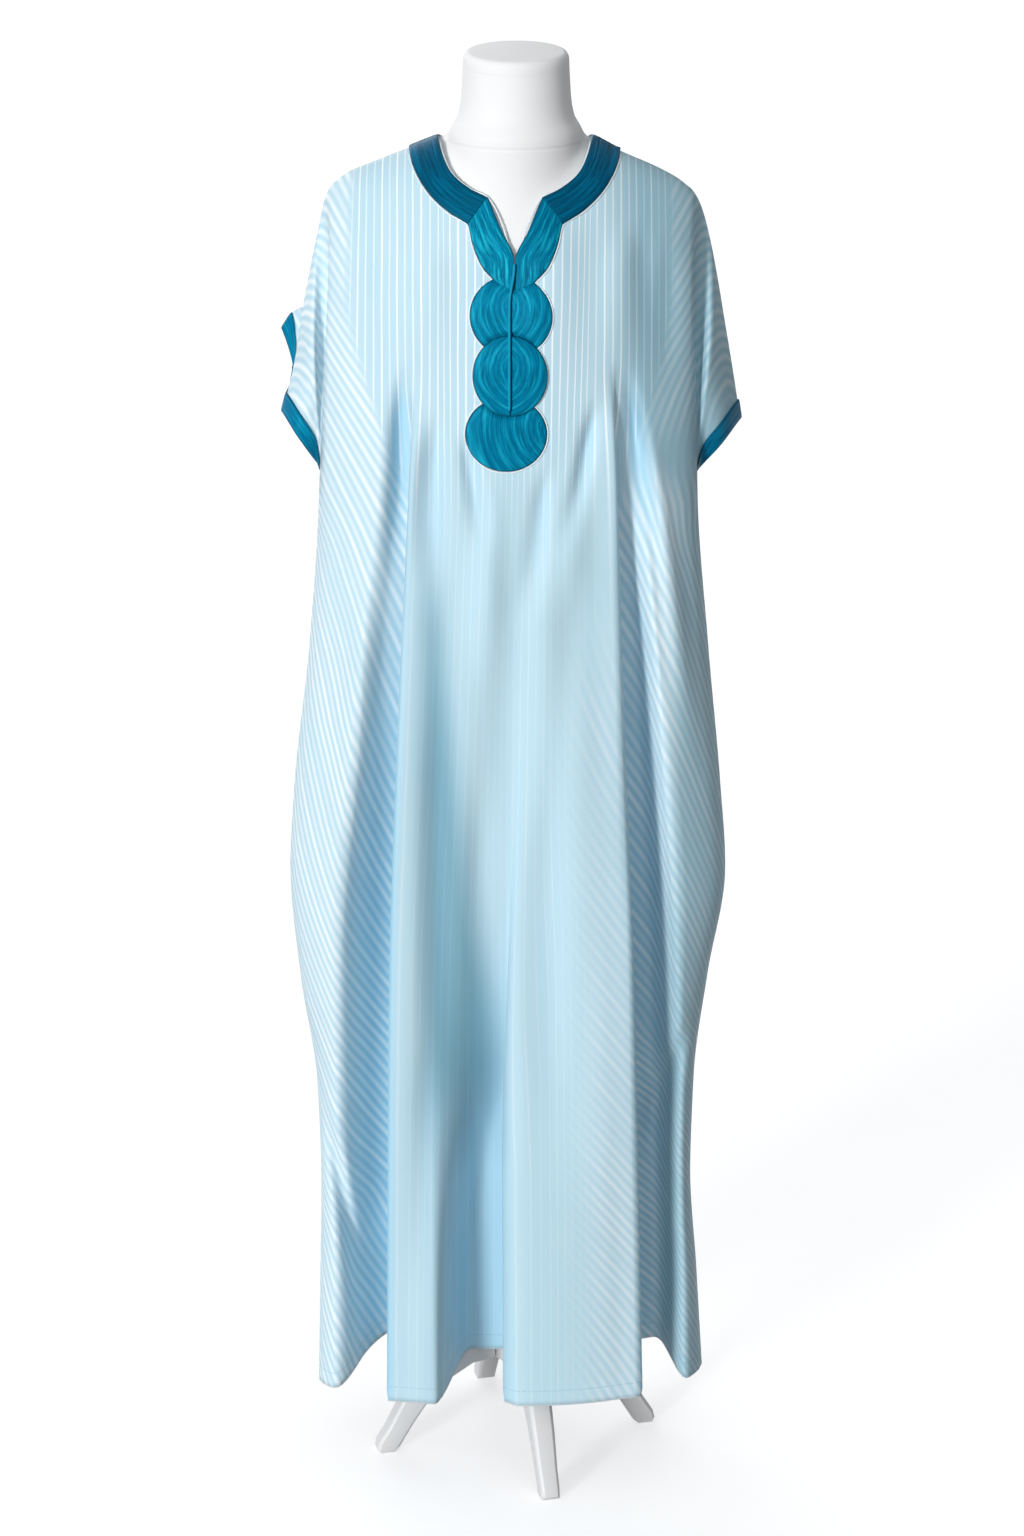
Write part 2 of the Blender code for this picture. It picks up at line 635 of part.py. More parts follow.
def inset(field, gap, turn=1):
    """The same field, turned round where turn is -1, with its line moved in by a gap."""

    def moved(spots):
        return turn * field(spots) - gap

    return moved


def off_middle(spots):
    return spots[:, 0] - NECK_X


def make_neck_bands(made, trim):
    low = CLOTH / 2 + NECK_GAP
    high = low + BAND
    corner = (NECKLINE["x"][1], NECKLINE["z"][1]), (BAND_OUTER["x"][0], BAND_OUTER["z"][0])
    mitre = table("x z", corner)
    foot = table("x z", [(0.0, SLIT_END_Z), (SLIT_OUTER["x"][-1], SLIT_OUTER["z"][-1])])
    found = made[-1][3]
    for side, label in ((-1, "left"), (1, "right")):
        names = [k for k, spec in enumerate(found) if spec[0] == "body"]
        columns = [k for k in names if side * (made[-1][1][k, 0, 0] - NECK_X) > -1e-6]
        split = beside(mitre, side)
        fields = [beside(BAND_OUTER, side), inset(split, BAND_GAP / 2)]
        patch(f"neck_band_{label}", made[-1], columns, slice(0, 7), fields, low, high, trim, -1)
        fields = [inset(split, BAND_GAP / 2, -1), inset(beside(SLIT_OUTER, side), 0, -1)]
        fields += [beside(foot, side), inset(off_middle, SLIT_GAP / 2, side)]
        patch(f"slit_band_{label}", made[-1], columns, slice(0, 8), fields, low, high, trim, -1)
    body = [k for k, spec in enumerate(made[1][3]) if spec[0] == "body"]
    patch("neck_band_back", made[1], body, slice(0, 7), [beside(BACK_BAND_OUTER)], low, high, trim, 1, 1)


def make_cuffs(made, trim):
    names = {-1: "front", 1: "back"}
    low = CLOTH / 2 + SEAT_GAP
    for facing, panel in made.items():
        for side in (-1, 1):
            picked = [k for k, s in enumerate(panel[3]) if s[0] == "sleeve" and s[1] == side and s[2] > 0.3]
            edge = panel[1][picked[0] if side < 0 else picked[-1], : len(TOP_ROWS)]
            label = f"cuff_{'left' if side < 0 else 'right'}_{names[facing]}"
            rows = slice(0, len(TOP_ROWS) + 1)
            patch(label, panel, picked, rows, [near(edge)], low, low + BAND, trim, facing, 1)


def near(edge):
    """How far a point lies inside the cuff's band, from its distance to the sleeve's edge."""

    def field(spots):
        best = np.full(len(spots), 1e9)
        for a, b in zip(edge, edge[1:]):
            run = b - a
            t = np.clip((spots - a) @ run / (run @ run), 0, 1)
            best = np.minimum(best, np.linalg.norm(spots - a - t[:, None] * run, axis=1))
        return CUFF_BAND_WIDE - best

    return field


def disc_limit(name, x, z):
    """Whether a disc may reach this place: it stops at the disc or the bands that lie over it."""
    if name != "middle":
        mid_x, mid_z, wide, tall = DISCS["middle"]
        if ((x - mid_x) / (wide + DISC_GAP)) ** 2 + ((z - mid_z) / (tall + DISC_GAP)) ** 2 < 1:
            return False
    if name == "top":
        foot_x, foot_z = SLIT_OUTER["x"][-1], SLIT_OUTER["z"][-1]
        out = abs(x - NECK_X)
        line = lerp(SLIT_END_Z, foot_z, out / foot_x) if out < foot_x else foot_z + 1.1 * (out - foot_x)
        return z < line - DISC_GAP
    return True


def disc_reach(name, middle, angle, wide, tall):
    low, high = 0.0, 1.0
    for _ in range(14):
        share = (low + high) / 2
        at = middle[0] + wide * share * math.cos(angle), middle[1] + tall * share * math.sin(angle)
        low, high = (share, high) if disc_limit(name, *at) else (low, share)
    return low if low < 0.999 else 1.0


def make_disc(name, label, from_angle, to_angle, tree, trim, raised=0.0):
    """A domed disc, or half of one beside the slit, laid on the front."""
    x0, z0, wide, tall = DISCS[name]
    shift = SLIT_GAP / 2 * (0 if label == "whole" else (-1 if label == "left" else 1))
    shares, heights = (0.36, 0.68, 0.90, 1.0), (0.97, 0.88, 0.68, 0.30)
    closed = label == "whole"
    turns = 28 if closed else 15
    angles = [lerp(from_angle, to_angle, k / turns) for k in range(turns if closed else turns + 1)]
    outline = [(0.0, 0.0, 1.0)]
    for angle in angles:
        reach = disc_reach(name, (x0, z0), angle, wide, tall)
        for share, height in zip(shares, heights):
            aside, up = reach * share * math.cos(angle), reach * share * math.sin(angle)
            outline.append((wide * aside, tall * up, height))
    verts = []
    for aside, up, height in outline:
        point, normal = laid_on(tree, x0 + shift + aside, z0 + up, -1)
        verts.append(point + normal * LAY_GAP)
        verts.append(point + normal * (LAY_GAP + raised + DISC * height))
    faces, count, step = [], len(angles), 2 * len(shares)
    for k in range(count if closed else count - 1):
        a, b = 2 + k * step, 2 + (k + 1) % count * step
        faces += [(1, a + 1, b + 1), (0, b, a)]
        for j in range(0, step - 2, 2):
            faces.append((a + j + 1, a + j + 3, b + j + 3, b + j + 1))
            faces.append((a + j, b + j, b + j + 2, a + j + 2))
        faces.append((a + step - 2, b + step - 2, b + step - 1, a + step - 1))
    if not closed:
        for a, turn in ((2, 1), (2 + (count - 1) * step, -1)):
            faces.append((0, a, a + 1, 1)[::turn])
            for j in range(0, step - 2, 2):
                faces.append((a + j, a + j + 2, a + j + 3, a + j + 1)[::turn])
    return new_object(f"disc_{name}" + ("" if closed else f"_{label}"), verts, faces, trim)


def make_discs(made, trim):
    front = surface_of(made[-1][0])
    for name in ("top", "middle"):
        for label, start in (("left", 90), ("right", -90)):
            raised = SLIT_STEP if label == "left" else 0.0
            make_disc(name, label, math.radians(start), math.radians(start + 180), front, trim, raised)
    make_disc("bottom", "whole", math.radians(-90), math.radians(270), front, trim)


# The dress form and its stand
def gown_radius(angles, z):
    """How far the form may reach at this level and stay inside the gown's shoulders."""
    low, high = np.zeros_like(angles), np.full_like(angles, 0.30)
    for _ in range(40):
        r = (low + high) / 2
        x, y = FORM_X + r * np.cos(angles), np.abs(r * np.sin(angles))
        drop = SEAT_DROP + SHOULDER_ROUND * smooth(y / 0.012)
        front, back = depth(x, z + drop, -1), depth(x, z + drop, 1)
        room = np.where(np.sin(angles) < 0, front, back)
        room = room - FORM_INSET * smooth(room / 0.03)
        inside = y < room
        low, high = np.where(inside, r, low), np.where(inside, high, r)
    tip = (np.abs(np.cos(angles) / FORM_TIP) ** 3 + np.abs(np.sin(angles) / 0.13) ** 3) ** (-1 / 3)
    return (np.maximum(low, 1e-4) ** -14 + tip**-14) ** (-1 / 14)


def torso_radius(angles, z):
    wide, power = through(TORSO["z"], TORSO["wide"], z), through(TORSO["z"], TORSO["power"], z)
    front, back = through(TORSO["z"], TORSO["front"], z), through(TORSO["z"], TORSO["back"], z)
    deep = np.where(np.sin(angles) < 0, front, back)
    return (np.abs(np.cos(angles) / wide) ** power + np.abs(np.sin(angles) / deep) ** power) ** (-1 / power)


def form_ring(z):
    angles = np.linspace(0, 2 * math.pi, FORM_SIDES, endpoint=False)
    radius = torso_radius(angles, min(z, TORSO["z"][-1]))
    if z > SHOULDER_FROM:
        share = float(smooth((z - SHOULDER_FROM) / (SHOULDER_TO - SHOULDER_FROM)))
        radius = lerp(radius, gown_radius(angles, z), share)
    if z > NECK_FROM_Z:
        wide, back = (float(through(NECK["z"], NECK[name], z)) for name in ("radius", "back"))
        deep = np.where(np.sin(angles) > 0, back, wide)
        neck = 1 / np.hypot(np.cos(angles) / wide, np.sin(angles) / deep)
        merged = np.log(np.exp(radius / NECK_BLEND) + np.exp(neck / NECK_BLEND)) * NECK_BLEND
        radius = merged if z < NECK_TOP_Z else neck
    return [(FORM_X + r * math.cos(a), r * math.sin(a), z) for r, a in zip(radius, angles)]


def lofted(name, rings, look):
    """A closed solid through rings of equal counts, lowest ring first."""
    count = len(rings[0])
    verts = [point for ring in rings for point in ring]
    faces = [tuple(range(count))[::-1]]
    for k in range(len(rings) - 1):
        for i in range(count):
            j = (i + 1) % count
            faces.append((k * count + i, k * count + j, (k + 1) * count + j, (k + 1) * count + i))
    faces.append(tuple((len(rings) - 1) * count + i for i in range(count)))
    return new_object(name, verts, faces, look)


def make_form(foam, rail):
    heights = list(TORSO["z"][:1]) + list(np.linspace(0.745, 1.290, 11)) + list(np.linspace(1.312, 1.405, 5))
    heights += list(np.linspace(1.415, 1.499, 13)) + [1.512, 1.530, FORM_TOP_Z]
    rings = [form_ring(float(z)) for z in heights]
    for k, share in enumerate((0.90, 0.975)):
        rings[k] = [(FORM_X + (x - FORM_X) * share, y * share, z) for x, y, z in rings[k]]
    rings[-1] = [(x, y, z + math.tan(CAP_TILT) * y) for x, y, z in rings[-1]]
    lofted("form_torso", rings, foam)
    radius = NECK["radius"][-1]
    cap = []
    for lift, share in ((0.0, 0.985), (0.007, 0.985), (0.0115, 0.955), (0.0135, 0.90)):
        ring = []
        for k in range(FORM_SIDES):
            turn = 2 * math.pi * k / FORM_SIDES
            x, y = radius * share * math.cos(turn), radius * share * math.sin(turn)
            ring.append((FORM_X + x, y, FORM_TOP_Z + SEAT_GAP + lift + math.tan(CAP_TILT) * y))
        cap.append(ring)
    lofted("form_neck_cap", cap, foam)
    make_stand(rail)


def round_bar(name, sections, look, sides=20, x0=FORM_X):
    rings = []
    for z, radius in sections:
        turns = [2 * math.pi * k / sides for k in range(sides)]
        rings.append([(x0 + radius * math.cos(t), radius * math.sin(t), z) for t in turns])
    return lofted(name, rings, look)


def make_stand(rail):
    ends = HUB_TOP + SEAT_GAP, TORSO["z"][0] - SEAT_GAP
    round_bar("stand_pole", [(z, POLE_RADIUS) for z in ends], rail)
    hub = [(HUB_BOTTOM, 0.7), (HUB_BOTTOM + 0.006, 1.0), (HUB_TOP - 0.02, 1.0), (HUB_TOP, 0.62)]
    round_bar("stand_hub", [(z, share * HUB_RADIUS) for z, share in hub], rail)
    for k in range(4):
        turn = LEG_TURN + k * math.pi / 2
        out = np.array((math.cos(turn), math.sin(turn), 0))
        aside = np.array((-math.sin(turn), math.cos(turn), 0))
        rings = []
        for offset, inset in ((-1.0, 0.003), (-0.72, 0.0), (0.72, 0.0), (1.0, 0.003)):
            ring = []
            for r, z, nr, nz in leg_outline():
                spot = np.array((FORM_X, 0, z - nz * inset)) + out * (r - nr * inset)
                ring.append(tuple(spot + aside * offset * LEG_THICK / 2))
            rings.append(ring)
        lofted(f"stand_leg_{k + 1}", rings, rail)


def leg_outline():
    """A leg's side view as (reach, height), with the outward direction at each corner."""
    root = HUB_RADIUS + SEAT_GAP
    upper = [(root, 0.176), (0.060, 0.162), (0.088, 0.136), (0.112, 0.100), (0.132, 0.066), (0.149, 0.032)]
    upper += [(0.161, 0.013)]
    lower = [(LEG_REACH - 0.003, 0.004), (LEG_REACH - 0.006, 0.0), (0.143, 0.0), (0.137, 0.005)]
    lower += [(0.121, 0.032), (0.102, 0.060), (0.078, 0.084), (0.052, 0.100), (root, 0.106)]
    points = upper + lower
    found = []
    for k, (r, z) in enumerate(points):
        (r0, z0), (r1, z1) = points[k - 1], points[(k + 1) % len(points)]
        run = math.hypot(r1 - r0, z1 - z0)
        nr, nz = -(z1 - z0) / run, (r1 - r0) / run
        flat = z == 0.0 or r == root
        found.append((r, z, 0.0 if flat else nr, 0.0 if flat else nz))
    return found


def centre_on_floor():
    """Moves every mesh so that the box round all of them stands centred on the origin."""
    meshes = [obj.data for obj in bpy.data.objects]
    corners = np.array([tuple(v.co) for mesh in meshes for v in mesh.vertices])
    middle = Vector((corners.min(axis=0) + corners.max(axis=0)) / 2)
    for mesh in meshes:
        mesh.transform(Matrix.Translation((-middle.x, -middle.y, 0.0)))
    print("moved by", round(-middle.x, 6), round(-middle.y, 6))


def main():
    for obj in list(bpy.data.objects):
        bpy.data.objects.remove(obj, do_unlink=True)
    cloth = material("satin_stripe_cotton", (0.52, 0.73, 0.82), 0.55)
    trim = material("teal_rayon_trim", (0.004, 0.17, 0.30), 0.42)
    made = make_panels(cloth)
    make_cuffs(made, trim)
    make_neck_bands(made, trim)
    make_discs(made, trim)
    foam = material("white_jersey_over_foam", (0.82, 0.82, 0.82), 0.8)
    rail = material("white_powder_coat", (0.78, 0.78, 0.78), 0.45)
    make_form(foam, rail)
    centre_on_floor()


main()
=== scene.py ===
# A gandoura on a limbless dress form: striped cotton sateen with teal rayon embroidery.
# Metres, +Z up, the front faces -Y. Left and right are the viewer's, looking at the front.

import math

import bmesh
import bpy
import numpy as np
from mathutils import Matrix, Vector, noise


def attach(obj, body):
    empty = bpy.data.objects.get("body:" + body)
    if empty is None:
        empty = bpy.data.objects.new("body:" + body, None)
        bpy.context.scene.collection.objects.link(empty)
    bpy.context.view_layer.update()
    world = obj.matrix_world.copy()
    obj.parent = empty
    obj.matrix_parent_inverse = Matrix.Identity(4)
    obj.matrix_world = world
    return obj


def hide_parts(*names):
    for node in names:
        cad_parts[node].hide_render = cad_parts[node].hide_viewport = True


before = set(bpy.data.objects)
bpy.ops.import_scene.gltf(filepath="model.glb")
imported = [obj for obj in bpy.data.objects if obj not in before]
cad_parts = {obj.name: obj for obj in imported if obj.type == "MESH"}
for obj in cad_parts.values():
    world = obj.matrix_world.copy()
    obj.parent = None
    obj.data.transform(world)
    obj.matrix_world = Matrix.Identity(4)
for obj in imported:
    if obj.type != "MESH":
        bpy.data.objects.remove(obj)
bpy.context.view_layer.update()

body = "root"
packedShift = 0.000141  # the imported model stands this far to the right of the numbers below


def table(columns, rows):
    return dict(zip(columns.split(), np.array(rows, float).T))


def smooth(t):
    t = np.clip(t, 0.0, 1.0)
    return t * t * (3 - 2 * t)


def lerp(a, b, t):
    return a + (b - a) * t


# running total of the steps, from 0
def runningTotal(steps):
    return np.concatenate([np.zeros_like(steps[:1]), np.cumsum(steps, axis=0)])


# a smooth curve through the points that doesn't overshoot them
def through(xs, ys, x):
    xs, ys = np.asarray(xs, float), np.asarray(ys, float)
    step, secant = np.diff(xs), np.diff(ys) / np.diff(xs)
    slope = np.empty(len(ys))
    slope[0], slope[-1] = secant[0], secant[-1]
    product = secant[1:] * secant[:-1]
    total = np.where(product > 0, secant[1:] + secant[:-1], 1.0)
    slope[1:-1] = np.where(product > 0, 2 * product / total, 0.0)
    i = np.clip(np.searchsorted(xs, x) - 1, 0, len(xs) - 2)
    t = (np.clip(x, xs[0], xs[-1]) - xs[i]) / step[i]
    bend = (slope[i] * (1 - t) - slope[i + 1] * t) * step[i] * t * (1 - t)
    return ys[i] + (ys[i + 1] - ys[i]) * smooth(t) + bend


def meshFrom(name, bm):
    mesh = bpy.data.meshes.new(name)
    bm.to_mesh(mesh)
    bm.free()
    return mesh


# Camera, floor and light
camera = dict(distance=4.0, aimHeight=0.80, pitch=18.0, metresPerPixel=0.00108, halfFrame=768)


def makeCamera():
    pitch = math.radians(camera["pitch"])
    reach = camera["distance"] / math.cos(pitch)
    data = bpy.data.cameras.new("camera")
    data.sensor_fit = "VERTICAL"
    data.angle = 2 * math.atan(camera["halfFrame"] * camera["metresPerPixel"] / reach)
    obj = bpy.data.objects.new("camera", data)
    obj.location = (0.0, -camera["distance"], camera["aimHeight"] + reach * math.sin(pitch))
    obj.rotation_euler = (math.pi / 2 - pitch, 0.0, 0.0)
    bpy.context.scene.collection.objects.link(obj)
    bpy.context.scene.camera = obj
    bpy.context.scene.view_settings.view_transform = "Standard"  # a white floor stays white


studio = dict(
    lampsAway=4.0,
    world=("#f9fbfd", 0.22),
    backdrop=("#fdfdfe", 1.05),
    # name, strength, softness in degrees, direction that it comes from
    lamps=[
        ("key", 2.50, 12.0, (-0.54, -0.82, 0.16)),
        ("front", 0.46, 60.0, (0.05, -0.95, 0.20)),
        ("top", 0.74, 100.0, (-0.05, 0.10, 1.00)),
        ("back", 1.50, 50.0, (-0.35, 0.90, 0.25)),  # behind the gown, for its back
    ],
)


def makeLight():
    world = bpy.data.worlds.new("studio")
    bpy.context.scene.world = world
    world.use_nodes = True
    tree = world.node_tree
    # the walls light the gown softly, and look as white as the floor
    shades = []
    for name in ("world", "backdrop"):
        tone, strength = studio[name]
        shades.append(addNode(tree, "Background", inputs={0: colour(tone), 1: strength}))
    seen = addNode(tree, "LightPath")
    mixed = addNode(tree, "MixShader", links={0: seen.outputs["Is Camera Ray"], 1: shades[0], 2: shades[1]})
    tree.links.new(mixed.outputs[0], tree.nodes["World Output"].inputs["Surface"])
    tree.nodes.remove(tree.nodes["Background"])
    for name, strength, softness, place in studio["lamps"]:
        data = bpy.data.lights.new(name, "SUN")
        data.energy, data.angle = strength, math.radians(softness)
        obj = bpy.data.objects.new(name, data)
        obj.location = studio["lampsAway"] * Vector(place)
        obj.rotation_euler = (-Vector(place)).to_track_quat("-Z", "Y").to_euler()
        bpy.context.scene.collection.objects.link(obj)


studioFloor = dict(size=60.0, glow=0.60, light="#fdfdfe", dark="#c8c9ca", pale="#cccdce")


def makeFloor():
    bm = bmesh.new()
    bmesh.ops.create_grid(bm, x_segments=4, y_segments=4, size=studioFloor["size"])
    mesh = meshFrom("floor", bm)
    mesh.materials.append(floorPaint())
    obj = bpy.data.objects.new("floor", mesh)
    bpy.context.scene.collection.objects.link(obj)
    obj.visible_diffuse = False  # the lit floor doesn't throw its light back up into the folds


# Materials
def linear(hexColour):
    parts = [int(hexColour[k : k + 2], 16) / 255 for k in (1, 3, 5)]
    return tuple(c / 12.92 if c <= 0.04045 else ((c + 0.055) / 1.055) ** 2.4 for c in parts)


def colour(hexColour):
    return (*linear(hexColour), 1.0)


# a link may come from a socket, or from a node's first one
def addNode(tree, kind, settings=None, inputs=None, links=None):
    node = tree.nodes.new("ShaderNode" + kind)
    for name, value in (settings or {}).items():
        setattr(node, name, value)
    for key, value in (inputs or {}).items():
        node.inputs[key].default_value = value
    for key, source in (links or {}).items():
        tree.links.new(getattr(source, "outputs", [source])[0], node.inputs[key])
    return node


def newMaterial(name, roughness, **sockets):
    made = bpy.data.materials.new(name)
    made.use_nodes = True
    tree = made.node_tree
    shader = tree.nodes["Principled BSDF"]
    shader.inputs["Roughness"].default_value = roughness
    for key, value in sockets.items():
        shader.inputs[key.replace("_", " ")].default_value = value
    return made, tree, shader


colourMix = {"data_type": "RGBA"}
colourMultiply = {"data_type": "RGBA", "blend_type": "MULTIPLY"}


def floorPaint():
    # lit white studio floor: even, with a trace of roller texture; its own glow keeps shadows faint
    made, tree, shader = newMaterial("lit_white_studio_floor", 0.85, Emission_Strength=studioFloor["glow"])
    shader.inputs["Emission Color"].default_value = colour(studioFloor["light"])
    place = addNode(tree, "TexCoord")
    sizes, onObject = {"Scale": 6.0, "Detail": 2.0}, {"Vector": place.outputs["Object"]}
    grain = addNode(tree, "TexNoise", {}, sizes, onObject)
    tones = {6: colour(studioFloor["dark"]), 7: colour(studioFloor["pale"])}
    tone = addNode(tree, "Mix", colourMix, tones, {0: grain.outputs["Fac"]})
    tree.links.new(tone.outputs[2], shader.inputs["Base Color"])
    return made


stripes = dict(
    pitch=0.0090,  # one stripe each 9 mm
    centreHalf=0.0008,  # half of a stripe's width, and how softly it ends
    centreSoft=0.0005,
    sideHalf=0.0022,
    sideSoft=0.0020,
    sway=0.0014,
    cloth="#bedbe8",
    clothDeep="#b0d2e1",
    fold="#88c9e6",  # painted light inside the deep folds, standing in for light that has passed through the cloth
    darkening="#9bbcc4",  # painted shade where the light reaches the cloth least
    stripe="#f6fbfd",
    threadPitch=0.0011,  # real sateen threads are 0.3 mm apart, drawn at 1.1 mm so that they show
    threadRise=0.00015,
    stripeRise=1.2,  # a stripe stands this many threads high
    relief=0.30,
    slubs=60.0,
    clouds=(34.0, 34.0, 4.0),
    roughness=(0.62, 0.42),  # matt ground and satin stripe
    unevenScale=(110.0, 7.0, 1.0),
    unevenShow=(0.35, 1.0),
)
hemming = dict(
    deep=0.018,  # the turned-up hem, with a row of stitches along its top
    lip=0.0006,
    stitchLong=0.004,  # real stitches are 2.5 mm long, drawn longer so that they show
    stitchWide=(0.0004, 0.0010),
    stitchGap=(0.08, 0.16),
    stitchShow=0.6,
    stitch="#98c2d6",
    # a pale line along the folded edge: painted highlight
    edgeWide=(0.0008, 0.0018),
    edgeShow=0.7,
    edge="#f2f9fc",
)


# one set of stripes: how far a point lies in a stripe, 0 to 1
def stripeSet(tree, kind):
    half, soft, pitch = stripes[kind + "Half"], stripes[kind + "Soft"], stripes["pitch"]
    uv = addNode(tree, "UVMap", {"uv_map": kind + "Stripes"})
    wander = addNode(tree, "TexNoise", inputs={"Scale": 16.0, "Detail": 1.0}, links={"Vector": uv})
    across = addNode(tree, "SeparateXYZ", links={0: uv})
    moved = {0: wander.outputs["Fac"], 2: across.outputs["X"]}
    swayed = addNode(tree, "Math", {"operation": "MULTIPLY_ADD"}, {1: stripes["sway"]}, moved)
    turn = addNode(tree, "Math", {"operation": "DIVIDE"}, {1: pitch}, {0: swayed})
    off = addNode(tree, "Math", {"operation": "PINGPONG"}, {1: 0.5}, {0: turn})
    edges = {1: (half + soft) / pitch, 2: max(half - soft, 0.0) / pitch, 3: 0.0, 4: 1.0}
    line = addNode(tree, "MapRange", {"interpolation_type": "SMOOTHSTEP"}, edges, {0: off})
    # stripes differ a little from each other and along their length
    whole = addNode(tree, "Math", {"operation": "ROUND"}, links={0: turn})
    odd = addNode(tree, "TexWhiteNoise", {"noise_dimensions": "1D"}, links={"W": whole})
    long = addNode(tree, "Mapping", {}, {"Scale": stripes["unevenScale"]}, {"Vector": uv})
    worn = addNode(tree, "TexNoise", inputs={"Scale": 1.0, "Detail": 2.0}, links={"Vector": long})
    differs = {0: odd.outputs["Value"], 1: worn.outputs["Fac"]}
    both = addNode(tree, "Math", {"operation": "ADD"}, links=differs)
    faint, full = stripes["unevenShow"]
    uneven = addNode(tree, "MapRange", {}, {1: 0.2, 2: 1.5, 3: faint, 4: full}, {0: both})
    shown = {0: line, 1: uneven}
    return addNode(tree, "Math", {"operation": "MULTIPLY"}, links=shown)


# a row of stitches above the hem, and a painted highlight along the hem's folded edge, over the cloth's own
# tone
def hemTone(tree, cloth):
    rise = addNode(tree, "Attribute", {"attribute_name": "hemRise"}).outputs["Fac"]
    fromRow = addNode(tree, "Math", {"operation": "SUBTRACT"}, {1: hemming["deep"]}, {0: rise})
    away = addNode(tree, "Math", {"operation": "ABSOLUTE"}, links={0: fromRow})
    near, far = hemming["stitchWide"]
    row = addNode(tree, "MapRange", {}, {1: near, 2: far, 3: 1.0, 4: 0.0}, {0: away})
    level = addNode(tree, "UVMap", {"uv_map": "centreStripes"})
    alongHem = addNode(tree, "SeparateXYZ", links={0: level})
    length = {1: hemming["stitchLong"]}
    turns = addNode(tree, "Math", {"operation": "DIVIDE"}, length, {0: alongHem.outputs["X"]})
    dash = addNode(tree, "Math", {"operation": "PINGPONG"}, {1: 0.5}, {0: turns})
    near, far = hemming["stitchGap"]
    shown = {1: near, 2: far, 3: 0.0, 4: hemming["stitchShow"]}
    gaps = addNode(tree, "MapRange", {}, shown, {0: dash})
    stitch = addNode(tree, "Math", {"operation": "MULTIPLY"}, links={0: row, 1: gaps})
    sewn = addNode(tree, "Mix", colourMix, {7: colour(hemming["stitch"])}, {0: stitch, 6: cloth})
    # the hem's folded edge made paler: painted highlight
    near, far = hemming["edgeWide"]
    edge = addNode(tree, "MapRange", {}, {1: near, 2: far, 3: hemming["edgeShow"], 4: 0.0}, {0: rise})
    over = {0: edge, 6: sewn.outputs[2]}
    return addNode(tree, "Mix", colourMix, {7: colour(hemming["edge"])}, over).outputs[2]


def stripedSateen():
    # cotton sateen woven in stripes: matt ground, and narrow satin stripes that catch the light
    made, tree, shader = newMaterial(
        "striped_cotton_sateen", 0.60, Sheen_Weight=0.12, Sheen_Roughness=0.45, Specular_IOR_Level=0.3
    )
    shader.inputs["Sheen Tint"].default_value = colour("#f2fbff")
    place = addNode(tree, "TexCoord")
    centre, side = stripeSet(tree, "centre"), stripeSet(tree, "side")
    share, show, inside, paintedShade = (
        addNode(tree, "Attribute", {"attribute_name": name}).outputs["Fac"]
        for name in ("sideShare", "stripeShow", "foldLightPaint", "shadePaint")
    )
    which = addNode(tree, "Mix", links={0: share, 2: centre, 3: side})
    stripe = addNode(tree, "Math", {"operation": "MULTIPLY"}, links={0: which, 1: show})
    # the dye is a little cloudy, in long patches that run down with the threads
    patches = addNode(tree, "Mapping", {}, {"Scale": stripes["clouds"]}, {"Vector": place.outputs["Object"]})
    sizes = {"Scale": 1.0, "Detail": 3.0}
    cloud = addNode(tree, "TexNoise", {}, sizes, {"Vector": patches})
    dyes = {6: colour(stripes["clothDeep"]), 7: colour(stripes["cloth"])}
    ground = addNode(tree, "Mix", colourMix, dyes, {0: cloud.outputs["Fac"]})
    # painted light: inside the folds and creases the cloth is tinted a clearer blue
    foldLightTinted = addNode(tree, "Mix", colourMix, {7: colour(stripes["fold"])}, {0: inside, 6: ground.outputs[2]})
    tone = addNode(tree, "Mix", colourMix, {7: colour(stripes["stripe"])}, {0: stripe, 6: foldLightTinted.outputs[2]})
    # painted shade: the soft hollow beside the left fold and the side turned away from the light are darkened
    # in the colour
    lit = {0: paintedShade, 6: hemTone(tree, tone.outputs[2])}
    shadeDarkened = addNode(tree, "Mix", colourMultiply, {7: colour(stripes["darkening"])}, lit)
    tree.links.new(shadeDarkened.outputs[2], shader.inputs["Base Color"])
    matt, satiny = stripes["roughness"]
    rough = addNode(tree, "MapRange", {}, {3: matt, 4: satiny}, {0: stripe})
    tree.links.new(rough.outputs[0], shader.inputs["Roughness"])
    # threads: long down the cloth, fine across it
    uv = addNode(tree, "UVMap", {"uv_map": "centreStripes"})
    fine = (1 / stripes["threadPitch"], stripes["slubs"], 1.0)
    spun = addNode(tree, "Mapping", {}, {"Scale": fine}, {"Vector": uv})
    slub = addNode(tree, "TexNoise", inputs={"Scale": 1.0, "Detail": 2.0}, links={"Vector": spun})
    raised = {0: stripe, 2: slub.outputs["Fac"]}
    relief = addNode(tree, "Math", {"operation": "MULTIPLY_ADD"}, {1: stripes["stripeRise"]}, raised)
    sizes = {"Strength": stripes["relief"], "Distance": stripes["threadRise"]}
    bump = addNode(tree, "Bump", inputs=sizes, links={"Height": relief})
    tree.links.new(bump.outputs[0], shader.inputs["Normal"])
    return made


